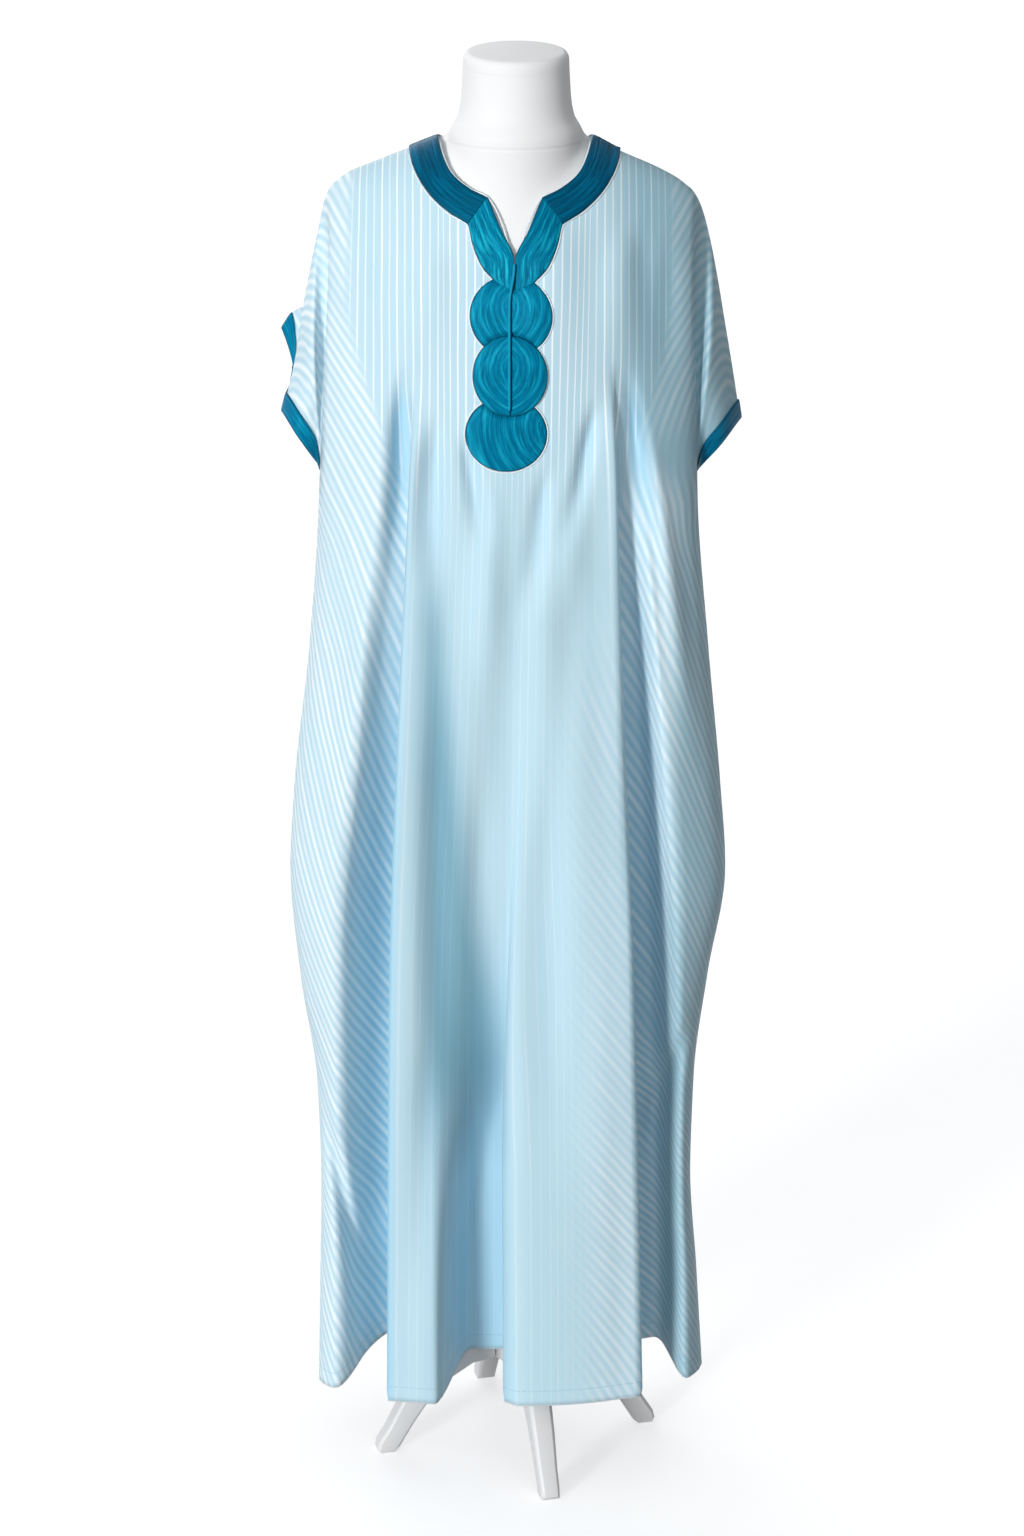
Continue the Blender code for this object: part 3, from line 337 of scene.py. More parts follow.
# dark, middle and light thread, roughness, and the scale of the painted sheen's patches across and along the
# thread
threads = dict(
    band=("#003c58", "#005173", "#006c92", 0.46, (330.0, 16.0)),
    slit=("#005070", "#0086ac", "#26c6dc", 0.34, (260.0, 24.0)),
    # a darker copy of the slit thread for the right band: painted shade
    slitRightShaded=("#00486a", "#007498", "#16a8c0", 0.38, (260.0, 24.0)),
    disc=("#005474", "#007ba2", "#15a5c4", 0.36, (240.0, 17.0)),
    # a darker copy of the cuff thread for the right cuffs: painted shade
    cuffRight=("#004260", "#006084", "#127c9e", 0.46, (330.0, 16.0)),
    cuff=("#00587a", "#007aa2", "#1a9cc0", 0.46, (330.0, 16.0)),
)


satin = dict(
    specularTint="#2fb6d0",
    threadScale=(900.0, 36.0),  # threads about 1 mm wide, real floss drawn twice as wide
    # the rim is painted shade along the stitched edges
    rimWide=0.0022,
    rimShow=0.75,
    rim="#00354e",
)


def rayonStitch(kind):
    # rayon floss in long satin stitches: lighter patches are a painted sheen along the thread, and a darker rim
    # is painted shade where it dives in
    dark, middle, light, roughness, patches = threads[kind]
    made, tree, shader = newMaterial("rayon_satin_stitch_" + kind, roughness, Specular_IOR_Level=0.45)
    shader.inputs["Specular Tint"].default_value = colour(satin["specularTint"])
    uv = addNode(tree, "UVMap", {"uv_map": "stitches"})
    grains = []
    for across, down in (satin["threadScale"], patches):
        spread = addNode(tree, "Mapping", {}, {"Scale": (across, down, 1.0)}, {"Vector": uv})
        sizes = {"Scale": 1.0, "Detail": 3.0, "Roughness": 0.6}
        grain = addNode(tree, "TexNoise", inputs=sizes, links={"Vector": spread})
        grains.append(grain.outputs["Fac"])
    lift = addNode(tree, "MapRange", {}, {1: 0.36, 2: 0.64}, {0: grains[0]})
    # patches of the light thread colour are painted sheen
    paintedSheen = addNode(tree, "MapRange", {}, {1: 0.48, 2: 0.72}, {0: grains[1]})
    first = addNode(tree, "Mix", colourMix, {6: colour(dark), 7: colour(middle)}, {0: lift})
    second = addNode(tree, "Mix", colourMix, {7: colour(light)}, {0: paintedSheen, 6: first.outputs[2]})
    # a darker rim along the edges is painted shade
    edge = addNode(tree, "Attribute", {"attribute_name": "edge"})
    ends = {1: 0.0, 2: satin["rimWide"], 3: satin["rimShow"], 4: 0.0}
    rim = addNode(tree, "MapRange", {"interpolation_type": "SMOOTHSTEP"}, ends, {0: edge.outputs["Fac"]})
    rimShaded = {0: rim, 6: second.outputs[2]}
    third = addNode(tree, "Mix", colourMix, {7: colour(satin["rim"])}, rimShaded)
    tree.links.new(third.outputs[2], shader.inputs["Base Color"])
    bump = addNode(tree, "Bump", inputs={"Strength": 0.55, "Distance": 0.0004}, links={"Height": grains[0]})
    tree.links.new(bump.outputs[0], shader.inputs["Normal"])
    return made


def plainThread(name, hexColour, gloss=0.5):
    # twisted edging thread: the twist shows as fine diagonal bands of tone
    made, tree, shader = newMaterial(name, 0.6, Sheen_Weight=0.2 * gloss, Specular_IOR_Level=gloss)
    place = addNode(tree, "TexCoord")
    sizes, onObject = {"Scale": 420.0, "Distortion": 1.0}, {"Vector": place.outputs["Object"]}
    twist = addNode(tree, "TexWave", {"bands_direction": "DIAGONAL"}, sizes, onObject)
    tone = addNode(tree, "MapRange", {}, {3: 0.82, 4: 1.0}, {0: twist.outputs["Fac"]})
    ground = addNode(tree, "Mix", colourMultiply, {0: 1.0, 6: colour(hexColour)}, {7: tone})
    tree.links.new(ground.outputs[2], shader.inputs["Base Color"])
    return made


# a white surface: two near tones in soft clouds, and a fine grain in its bump
def whiteFinish(name, roughness, tones, clouds, grain, bumps, **sockets):
    made, tree, shader = newMaterial(name, roughness, **sockets)
    onObject = {"Vector": addNode(tree, "TexCoord").outputs["Object"]}
    fine, broad = (
        addNode(tree, "TexNoise", {}, {"Scale": scale, "Detail": detail}, onObject)
        for scale, detail in (grain, clouds)
    )
    darker, paler = (colour(tone) for tone in tones)
    tone = addNode(tree, "Mix", colourMix, {6: darker, 7: paler}, {0: broad.outputs["Fac"]})
    tree.links.new(tone.outputs[2], shader.inputs["Base Color"])
    sizes = {"Strength": bumps[0], "Distance": bumps[1]}
    bump = addNode(tree, "Bump", inputs=sizes, links={"Height": fine.outputs["Fac"]})
    tree.links.new(bump.outputs[0], shader.inputs["Normal"])
    return made


def jersey():
    # white polyester jersey stretched over foam: matt, with a knit grain of about 1 mm
    return whiteFinish(
        "white_polyester_jersey", 0.78, ("#e5e6e6", "#eeeeef"), clouds=(9.0, 2.0), grain=(900.0, 2.0),
        bumps=(0.2, 0.0002), Sheen_Weight=0.15,
    )


def powderCoat():
    # white powder coat on steel: satin, with faint orange peel of about 2 mm
    return whiteFinish(
        "white_powder_coat", 0.42, ("#d2d4d6", "#dfe0e1"), clouds=(14.0, 3.0), grain=(380.0, 1.0),
        bumps=(0.15, 0.0003), Coat_Weight=0.1,
    )


# The gown's surface: the same named sizes as its solids, drawn finer
gown = dict(
    hemZ=0.100,
    underarmZ=1.120,
    neckX=0.003,
    neckHalf=0.0785,
    neckTopZ=1.502,
    shoulderFall=0.42,
    chestRise=0.13,
    roundPower=0.6,
    sideReturn=0.010,
    cuffBulge=0.034,
    creaseTuck=0.010,
    creaseDip=0.006,
    creaseStrength=1.6,
    hemLift=0.30,
    neckCrowding=1.4,
    acrossPower=2.4,
    acrossRound=0.62,
    thick=0.0008,
    finerAcross=4,
    finerTop=8,
    finerLow=14,
)
sections = table(
    "z     left   right  front  back   edgeL  edgeR  edgeB  seamL  seamR",
    [
        (0.10, 0.216, 0.214, 0.128, 0.135, 0.062, 0.022, 0.060, -0.008, 0.022),
        (0.22, 0.213, 0.206, 0.132, 0.133, 0.060, 0.026, 0.058, -0.006, 0.020),
        (0.35, 0.210, 0.197, 0.136, 0.130, 0.056, 0.032, 0.056, -0.004, 0.014),
        (0.46, 0.213, 0.199, 0.138, 0.128, 0.054, 0.040, 0.055, 0.000, 0.010),
        (0.58, 0.229, 0.212, 0.140, 0.126, 0.054, 0.046, 0.054, 0.000, 0.006),
        (0.70, 0.238, 0.229, 0.141, 0.125, 0.055, 0.050, 0.052, 0.000, 0.004),
        (0.80, 0.232, 0.222, 0.142, 0.124, 0.056, 0.052, 0.051, 0.000, 0.002),
        (0.95, 0.214, 0.207, 0.143, 0.123, 0.058, 0.056, 0.050, 0.000, 0.000),
        (1.12, 0.201, 0.193, 0.143, 0.124, 0.060, 0.060, 0.050, 0.000, 0.000),
        (1.30, 0.197, 0.190, 0.142, 0.128, 0.060, 0.060, 0.052, 0.000, 0.000),
        (1.50, 0.186, 0.186, 0.140, 0.135, 0.058, 0.058, 0.054, 0.000, 0.000),
    ],
)
neckline = table(
    "x z",
    [(0.0, 1.368), (0.0275, 1.430), (0.0465, 1.4385), (0.0645, 1.452), (0.0725, 1.4655), (0.0785, 1.4815)],
)
backNeckline = table("x z", [(0.0, 1.461), (0.040, 1.464), (0.066, 1.472), (0.0785, 1.4815)])
bandOuter = table(
    "x z", [(0.0475, 1.404), (0.068, 1.4155), (0.088, 1.4325), (0.103, 1.4545), (0.1085, 1.4695)]
)
slitOuter = table("x z", [(0.0475, 1.404), (0.0430, 1.386), (0.0335, 1.364), (0.0190, 1.348)])
slitInner = table("x z", [(0.0275, 1.430), (0.0140, 1.3995), (0.0, 1.368), (0.0, 1.354), (0.0, 1.340)])
backBandOuter = table("x z", [(0.0, 1.430), (0.050, 1.434), (0.088, 1.450), (0.1085, 1.4695)])
leftTop = table(
    "x      z      y",
    [
        (0.0785, 1.4815, 0.0), (0.108, 1.470, 0.0), (0.150, 1.4535, 0.0), (0.172, 1.4445, 0.0),
        (0.186, 1.434, 0.0), (0.195, 1.420, 0.0), (0.201, 1.395, -0.001), (0.211, 1.350, -0.004),
        (0.220, 1.305, -0.010), (0.229, 1.250, -0.018), (0.242, 1.199, -0.026),
    ],
)
rightTop = table(
    "x      z      y",
    [
        (0.0785, 1.4815, 0.0), (0.108, 1.4665, 0.0), (0.146, 1.450, 0.0), (0.168, 1.438, 0.0),
        (0.181, 1.428, 0.0), (0.189, 1.416, 0.0), (0.197, 1.394, 0.0), (0.208, 1.345, 0.0),
        (0.218, 1.290, 0.0), (0.227, 1.240, 0.0), (0.236, 1.186, 0.0),
    ],
)
tipRow = 4  # the shoulder's tip, where the sleeve begins
flare = table(
    "f    out    back   up",
    [
        (0.0, 0.0, 0.0, 0.0), (0.075, -0.007, 0.003, 0.020), (0.14, -0.006, 0.004, 0.042),
        (0.23, 0.001, 0.005, 0.068), (0.34, 0.012, 0.009, 0.092), (0.46, 0.014, 0.022, 0.084),
        (0.59, 0.010, 0.024, 0.056), (0.73, 0.005, 0.014, 0.028), (0.87, 0.001, 0.004, 0.008),
        (1.0, 0.0, 0.0, 0.0),
    ],
)
# lines that run down the cloth, with the columns from the line before each
lines = [
    ("tipLeft", 0), ("outerLeft", 2), ("edgeLeft", 5), ("noseLeft", 1), ("neckLeft", 2),
    ("tubeLeft", 4), ("cornerLeft", 2), ("edgeMid", 2), ("noseMid", 1), ("cornerRight", 1),
    ("neckRight", 5), ("noseRight", 2), ("edgeRight", 1), ("outerRight", 5), ("tipRight", 2),
]
sleeveStations = (0.0, 0.10, 0.24, 0.44, 0.66, 0.86, 1.0)
sleeveSpans = len(sleeveStations) - 1
# top of the line, chest, waist, knee and hem
frontLines = dict(
    outerLeft=(-0.147, -0.150, -0.160, -0.184, -0.180),
    edgeLeft=(-0.107, -0.106, -0.119, -0.131, -0.139),
    noseLeft=(-0.099, -0.098, -0.110, -0.121, -0.129),
    neckLeft=(-0.0755, -0.078, -0.086, -0.100, -0.108),
    tubeLeft=(-0.050, -0.052, -0.060, -0.072, -0.082),
    cornerLeft=(-0.0245, -0.026, -0.034, -0.042, -0.046),
    edgeMid=(0.003, 0.000, -0.006, -0.010, -0.009),
    noseMid=(0.009, 0.006, 0.001, 0.000, 0.001),
    cornerRight=(0.0305, 0.031, 0.033, 0.038, 0.042),
    neckRight=(0.0815, 0.078, 0.080, 0.088, 0.095),
    noseRight=(0.100, 0.100, 0.109, 0.120, 0.135),
    edgeRight=(0.108, 0.108, 0.117, 0.130, 0.145),
    outerRight=(0.149, 0.150, 0.158, 0.176, 0.184),
)
backLines = dict(
    outerLeft=(-0.147, -0.150, -0.160, -0.182, -0.178),
    edgeLeft=(-0.107, -0.106, -0.115, -0.127, -0.133),
    noseLeft=(-0.099, -0.098, -0.107, -0.117, -0.123),
    neckLeft=(-0.0755, -0.076, -0.082, -0.090, -0.096),
    tubeLeft=(-0.050, -0.050, -0.052, -0.054, -0.056),
    cornerLeft=(-0.0245, -0.024, -0.022, -0.020, -0.018),
    edgeMid=(0.003, 0.004, 0.008, 0.012, 0.016),
    noseMid=(0.009, 0.010, 0.015, 0.020, 0.026),
    cornerRight=(0.0305, 0.032, 0.038, 0.046, 0.052),
    neckRight=(0.0815, 0.080, 0.084, 0.092, 0.098),
    noseRight=(0.100, 0.099, 0.106, 0.116, 0.124),
    edgeRight=(0.108, 0.107, 0.114, 0.126, 0.134),
    outerRight=(0.149, 0.150, 0.158, 0.176, 0.182),
)
lineHeights = (0.10, 0.60, 0.88, 1.12)
foldEdges = ("edgeLeft", "edgeMid", "edgeRight")
# how a fold's depth, floor and rolled edge change down it and across it
foldShape = dict(lowShare=0.92, floorOver=0.34, tuckOver=0.6, leanWide=1.6, leanFrom=0.5, lean=0.8)
foldSizes = "side topZ midZ fullZ mid deep reachTop reach tuck noseTop nose start floor floorZ"
frontFolds = table(
    foldSizes,
    [
        (1, 1.262, 0.95, 0.62, 0.040, 0.112, 0.030, 0.062, 0.012, 0.010, 0.010, 0.16, 1.0, 0.52),
        (1, 1.020, 0.70, 0.34, 0.010, 0.090, 0.060, 0.078, 0.008, 0.040, 0.012, 0.60, 1.9, 0.52),
        (-1, 1.268, 0.95, 0.62, 0.046, 0.084, 0.028, 0.052, 0.012, 0.010, 0.010, 0.16, 1.5, 1.25),
    ],
)
backFolds = table(
    foldSizes,
    [
        (1, 1.330, 0.95, 0.60, 0.028, 0.085, 0.030, 0.056, 0.008, 0.014, 0.010, 0.20, 1.2, 0.90),
        (-1, 1.050, 0.90, 0.45, 0.010, 0.046, 0.036, 0.052, 0.006, 0.036, 0.014, 0.50, 1.2, 0.52),
        (-1, 1.320, 0.95, 0.60, 0.028, 0.080, 0.030, 0.054, 0.008, 0.014, 0.010, 0.20, 1.4, 0.90),
    ],
)
topShares = (0.0, 0.02, 0.05, 0.09, 0.15, 0.23, 0.34, 0.46, 0.59, 0.73, 0.87, 1.0)
lowShares = tuple(np.linspace(0.0, 1.0, 12))

creaseShape = dict(startWide=0.7, spread=0.9, fadeIn=0.3, fadeOut=0.5)
# soft creases, seen from the front: from (x0, z0) to (x1, z1), half width and depth (less than 0 is a ridge)
creaseSizes = "x0 z0 x1 z1 wide deep"
frontCreases = table(
    creaseSizes,
    [
        (-0.112, 1.266, -0.122, 1.000, 0.0085, 0.0105),
        (-0.078, 1.222, -0.086, 1.010, 0.0095, 0.0060),
        (-0.050, 1.200, -0.026, 1.060, 0.0080, 0.0050),
        (-0.096, 1.240, -0.100, 0.960, 0.0100, -0.0030),
        (-0.024, 1.170, -0.020, 0.900, 0.0160, -0.0030),
        (0.087, 1.235, 0.052, 1.060, 0.0080, 0.0060),
        (0.035, 1.170, 0.016, 0.990, 0.0085, 0.0050),
        (0.104, 1.250, 0.112, 1.020, 0.0080, -0.0035),
        (0.117, 1.262, 0.150, 1.020, 0.0090, 0.0085),
        (0.068, 1.200, 0.056, 0.980, 0.0120, -0.0030),
        (0.140, 1.210, 0.196, 0.800, 0.0075, -0.0062),
        (-0.060, 1.080, -0.066, 0.520, 0.0200, -0.0045),
        (-0.030, 0.860, -0.048, 0.420, 0.0170, 0.0030),
        (0.072, 1.020, 0.064, 0.420, 0.0220, -0.0045),
        (0.040, 0.880, 0.042, 0.300, 0.0180, 0.0035),
        (-0.150, 1.060, -0.172, 0.640, 0.0200, -0.0060),
        (-0.203, 0.440, -0.163, 0.160, 0.0075, 0.0090),
        (-0.090, 0.560, -0.100, 0.140, 0.0180, 0.0035),
        (0.186, 0.540, 0.152, 0.330, 0.0090, 0.0095),
        (0.166, 0.300, 0.190, 0.120, 0.0150, 0.0045),
        (-0.134, 1.400, -0.136, 1.180, 0.0160, 0.0022),
        (-0.082, 1.400, -0.090, 1.240, 0.0180, -0.0026),
        (0.044, 1.440, 0.040, 1.210, 0.0300, -0.0050),
        (0.100, 1.080, 0.120, 0.120, 0.0320, -0.0062),
        (-0.106, 1.080, -0.126, 0.120, 0.0200, -0.0050),
        (0.112, 1.410, 0.112, 1.240, 0.0180, -0.0030),
        (0.132, 1.410, 0.140, 1.240, 0.0150, 0.0020),
        (0.160, 1.400, 0.160, 1.200, 0.0120, 0.0022),
        (-0.070, 1.040, -0.084, 0.240, 0.0190, 0.0080),
        (-0.022, 1.120, -0.040, 0.760, 0.0180, -0.0040),
        (0.030, 1.140, 0.040, 0.620, 0.0240, -0.0050),
    ],
)
backCreases = table(
    creaseSizes,
    [
        (-0.060, 1.330, -0.066, 0.980, 0.016, 0.0060),
        (0.062, 1.320, 0.070, 0.960, 0.015, 0.0055),
        (-0.020, 1.240, -0.030, 0.860, 0.016, -0.0045),
        (0.026, 1.220, 0.050, 0.800, 0.014, 0.0045),
        (-0.090, 0.820, -0.084, 0.240, 0.020, 0.0055),
        (0.086, 0.760, 0.078, 0.200, 0.020, 0.0050),
        (-0.168, 1.060, -0.182, 0.560, 0.018, 0.0045),
        (0.168, 1.040, 0.186, 0.520, 0.018, 0.0050),
    ],
)
sides = {
    -1: dict(name="gownFront", node="front_panel", lines=frontLines, folds=frontFolds, creases=frontCreases),
    1: dict(name="gownBack", node="back_panel", lines=backLines, folds=backFolds, creases=backCreases),
}


def section(name, z):
    return through(sections["z"], sections[name], z)


def shoulderZ(x):
    heights = []
    for half in (leftTop, rightTop):
        out = np.concatenate([[-0.03, 0.0, 0.03], half["x"][: tipRow + 1], [half["x"][tipRow] + 0.1]])
        drop = half["z"][tipRow] - 0.1 * gown["shoulderFall"]
        top = gown["neckTopZ"]
        z = np.concatenate([[top - 0.004, top, top - 0.004], half["z"][: tipRow + 1], [drop]])
        heights.append(through(out, z, np.abs(x - gown["neckX"])))
    return np.where(x < gown["neckX"], heights[0], heights[1])


# how far the cloth stands out from the shoulders' plane
def depth(x, z, facing):
    if facing < 0:
        middle, edge = section("front", z), np.where(x < 0, section("edgeL", z), section("edgeR", z))
    else:
        middle, edge = section("back", z), section("edgeB", z)
    across = np.clip(np.abs(x) / np.where(x < 0, section("left", z), section("right", z)), 0.0, 1.0)
    below = np.maximum(shoulderZ(x) - z, 0.0)
    full = lerp(edge, middle, (1 - across ** gown["acrossPower"]) ** gown["acrossRound"])
    return full * (1 - np.exp(-((below / gown["chestRise"]) ** gown["roundPower"])))


def creaseDepth(x, z, facing):
    total = np.zeros(np.broadcast(x, z).shape)
    creases, shape = sides[facing]["creases"], creaseShape
    for x0, z0, x1, z1, wide, deep in zip(*(creases[name] for name in creaseSizes.split())):
        dx, dz, run = x1 - x0, z1 - z0, math.hypot(x1 - x0, z1 - z0)
        place = ((x - x0) * dx + (z - z0) * dz) / run**2
        off = ((x - x0) * dz - (z - z0) * dx) / run
        grown = wide * (shape["startWide"] + shape["spread"] * np.clip(place, 0, 1))
        ends = smooth(place / shape["fadeIn"]) * smooth((1 - place) / shape["fadeOut"])
        total = total + deep * gown["creaseStrength"] * np.exp(-((off / grown) ** 2)) * ends
    return total


def surfaceY(x, z, facing):
    return facing * (depth(x, z, facing) - creaseDepth(x, z, facing))


# where a line of the cloth runs at a level, or at the top of the panel where z is None
def lineX(name, z, facing):
    if name in ("tipLeft", "tipRight"):
        side, half = (-1, leftTop) if name == "tipLeft" else (1, rightTop)
        if z is None:
            return gown["neckX"] + side * half["x"][tipRow]
        return side * section("left" if side < 0 else "right", z)
    values = sides[facing]["lines"][name]
    return values[0] if z is None else through(lineHeights, values[:0:-1], z)


# how far the folds move the cloth aside, towards their own edge, and inwards
def foldShift(x, z, facing):
    aside, inward, shape = np.zeros_like(x), np.zeros_like(x), foldShape
    for k, name in enumerate(foldEdges):
        side, topZ, midZ, fullZ, mid, deep, reachTop, reach, tuck, noseTop, nose, start, floor, floorZ = (
            sides[facing]["folds"][size][k] for size in foldSizes.split()
        )
        grown = smooth((topZ - z) / (topZ - fullZ))
        deep = through([0.0, fullZ, midZ, topZ], [deep, deep * shape["lowShare"], mid, 0.0], z)
        reach = lerp(reachTop, reach, grown)
        floor = lerp(1.0, floor, smooth((floorZ - z) / shape["floorOver"]))
        leanSize, nose = nose, lerp(noseTop, nose, grown)
        q = (x - lineX(name, z, facing)) * side
        ramp = np.where(q < 0, smooth(floor * (1 + q / reach)), smooth(1 - q / nose))
        started = smooth((topZ - z) / start)
        tucked = tuck * np.where(q < 0, smooth(1 + 2 * q / reach), smooth(1 - q / (shape["tuckOver"] * nose)))
        leaned = smooth(1 - np.abs(q - nose) / (shape["leanWide"] * nose)) * leanSize * shape["lean"]
        leaned = leaned * smooth(q / (shape["leanFrom"] * nose))
        aside = aside + side * started * (tucked - leaned * (q > 0))
        inward = inward + deep * ramp
    return aside, inward


def neckEdgeZ(x, facing):
    out = abs(x - gown["neckX"])
    if out >= gown["neckHalf"] - 1e-6:
        return float(shoulderZ(x))
    if facing > 0:
        return float(through(backNeckline["x"], backNeckline["z"], out))
    if out < neckline["x"][1]:
        return float(lerp(neckline["z"][0], neckline["z"][1], out / neckline["x"][1]))
    return float(through(neckline["x"][1:], neckline["z"][1:], out))


# the rows' shares of the way from the top to the underarm, and from there to the hem
def fineShares():
    shares = []
    for coarse, finer, first in ((topShares, gown["finerTop"], 0), (lowShares, gown["finerLow"], 1)):
        spans = len(coarse) - 1
        rows = np.arange(first, spans * finer + 1) / finer
        shares.append(np.interp(rows, range(spans + 1), coarse))
    return shares


def bodyColumn(a, b, share, facing):
    topShare = share
    if a == "neckLeft":
        topShare = share ** gown["neckCrowding"]
    if b == "neckRight":
        topShare = 1 - (1 - share) ** gown["neckCrowding"]
    underarm, hem = gown["underarmZ"], gown["hemZ"]
    topX = lerp(lineX(a, None, facing), lineX(b, None, facing), topShare)
    armX = lerp(lineX(a, underarm, facing), lineX(b, underarm, facing), share)
    hemX = np.array([lerp(lineX(a, hem, facing), lineX(b, hem, facing), share)])
    lift = gown["hemLift"] * float(foldShift(hemX, np.array([hem]), facing)[1][0])
    top, low = fineShares()
    lowZ = lerp(underarm, hem + lift, low)
    z = np.concatenate([lerp(neckEdgeZ(topX, facing), underarm, top), lowZ])
    x = np.concatenate([lerp(topX, armX, top), lerp(lineX(a, lowZ, facing), lineX(b, lowZ, facing), share)])
    aside, inward = foldShift(x, z, facing)
    y = depth(x, z, facing) - inward - creaseDepth(x, z, facing)
    return np.stack([x + aside, facing * y, z], axis=1)


def topPoint(half, station):
    run = runningTotal(np.hypot(np.diff(half["x"]), np.diff(half["z"])))
    tip = run[tipRow]
    place = station * tip if station <= 1 else tip + (station - 1) * (run[-1] - tip)
    return tuple(float(through(run, half[name], place)) for name in ("x", "z", "y"))


sleeve = dict(
    narrowing=0.8,
    bulgeHigh=0.75,
    bulgeOut=2.2,
    deepening=0.6,
    ruledFrom=0.45,
    ruledOver=0.45,
    ridgeEnd=0.24,  # the crease beside the body
    dipEnd=0.3,
    creaseHigh=0.6,
    swingFrom=0.35,  # the left back edge swings out behind the front one
    swingOver=0.6,
    swingPower=6,
)


def layerPoint(side, top, armX, armY, f, g, facing):
    x = lerp(gown["neckX"] + side * top[0], armX, f ** sleeve["narrowing"])
    bulge = gown["cuffBulge"] * np.sin(math.pi * f ** sleeve["bulgeHigh"]) * smooth(g * sleeve["bulgeOut"])
    y = lerp(top[2], armY, f) + facing * bulge
    return np.stack([x, y, lerp(top[1], gown["underarmZ"], f)], axis=1)


# from the crease beside the body (g 0) out to the cuff (g 1), and below it to the side seam
def sleeveColumn(side, g, ridge, facing):
    half = leftTop if side < 0 else rightTop
    width, seam = ("left", "seamL") if side < 0 else ("right", "seamR")
    armWide, armSeam = float(section(width, gown["underarmZ"])), float(section(seam, gown["underarmZ"]))
    arm = side * (armWide - gown["sideReturn"] * float(smooth(g)))
    cuffArm = side * (armWide - gown["sideReturn"])
    f, low = fineShares()
    count = len(f)
    armAcross, late = lerp(ridge[count - 1][1], armSeam, g), sleeve["deepening"]
    flat = layerPoint(side, topPoint(half, 1 + g), arm, armAcross, lerp(f, f**3, late * g), g, facing)
    end = layerPoint(side, topPoint(half, 2.0), cuffArm, armSeam, lerp(f, f**3, late), 1.0, facing)
    ruled = lerp(ridge[:count], end, g)
    spot = lerp(flat, ruled, smooth((f - sleeve["ruledFrom"]) / sleeve["ruledOver"])[:, None])
    spot[:, 1] = lerp(ridge[:count, 1], spot[:, 1], float(smooth(g / sleeve["ridgeEnd"])))
    down = np.sin(math.pi * f ** sleeve["creaseHigh"])
    spot[:, 0] -= side * gown["creaseTuck"] * math.sin(math.pi * min(g / sleeve["ridgeEnd"], 1.0)) * down
    spot[:, 1] -= facing * gown["creaseDip"] * math.sin(math.pi * min(g / sleeve["dipEnd"], 1.0)) * down
    if facing > 0 and side < 0:
        out, back, up = (through(flare["f"], flare[name], f) for name in ("out", "back", "up"))
        swing = float(smooth((g - sleeve["swingFrom"]) / sleeve["swingOver"]))
        spot += np.stack([-out * g ** sleeve["swingPower"], back * swing, up * swing], axis=1)
    z = lerp(gown["underarmZ"], gown["hemZ"], low)
    wide = section(width, z)
    edgeY = facing * depth(side * wide * 0.9999, z, facing)
    x = side * (wide - gown["sideReturn"] * float(smooth(g)))
    return np.concatenate([spot, np.stack([x, lerp(edgeY, section(seam, z), g), z], axis=1)])


# the panel's points by column and row, and each column's place along the lines
def panelGrid(facing):
    names = [name for name, count in lines]
    split = gown["finerAcross"]
    steps = np.arange(1, sleeveSpans * split + 1) / split
    stations = np.interp(steps, range(sleeveSpans + 1), sleeveStations)
    middle, places = [bodyColumn("tipLeft", "tipLeft", 1.0, facing)], [0.0]
    for k, (name, count) in enumerate(lines):
        for step in range(1, count * split + 1):
            share = step / (count * split)
            middle.append(bodyColumn(names[k - 1], name, share, facing))
            places.append(k - 1 + share)
    left = [sleeveColumn(-1, g, middle[0], facing) for g in stations]
    right = [sleeveColumn(1, g, middle[-1], facing) for g in stations]
    last = len(lines) - 1
    grid = np.array(left[::-1] + middle + right)
    grid[:, :, 0] += packedShift
    return grid, np.concatenate([-stations[::-1], places, last + stations])


# How far the side stripes run sideways for each metre down, at each level
stripeSlopes = table(
    "z     left   tube   right",
    [
        (0.10, 0.55, 0.60, 1.00),
        (0.30, 0.70, 0.85, 1.05),
        (0.50, 0.75, 0.80, 0.90),
        (0.70, 0.60, 0.70, 0.70),
        (0.90, 0.50, 0.45, 0.60),
        (1.05, 0.55, 0.20, 0.55),
        (1.12, 0.65, 0.00, 0.40),
        (1.20, 0.80, 0.00, -0.45),
        (1.30, 0.90, 0.00, -0.80),
        (1.38, 0.75, 0.00, -0.75),
        (1.48, 0.40, 0.00, -0.40),
    ],
)
stripeSpread = 1.30  # side stripes are slanted, so they are further apart on the level
# how far the stripes show, and where the sides' own stripes begin: columns by their place along the lines
stripeLayout = dict(
    levelRow=31,  # rows above the underarm at which the distance across is measured
    middle=7,
    startZ=1.14,
    skirt=0.16,
    chest=0.95,
    left=0.74,
    right=0.66,
    tubeTop=0.26,
    tubeLow=0.45,
    leftEdge=(2.05, 0.62),  # at the waist and at the shoulder
    rightEdge=(11.95, 13.30),
    edgeOver=0.26,
    fade=0.22,
    meetDip=1.6,
    chestZ=1.08,
    chestOver=0.17,
    tubeZ=1.06,
    tubeFade=0.16,
    # the right side's stripes fade out under the sleeve
    gap=0.85,
    gapZ=1.165,
    gapWide=0.035,
    roundFrom=0.30,
    roundOver=0.05,
    roundZ=1.13,
    roundFade=0.08,
    flatShare=0.35,
)


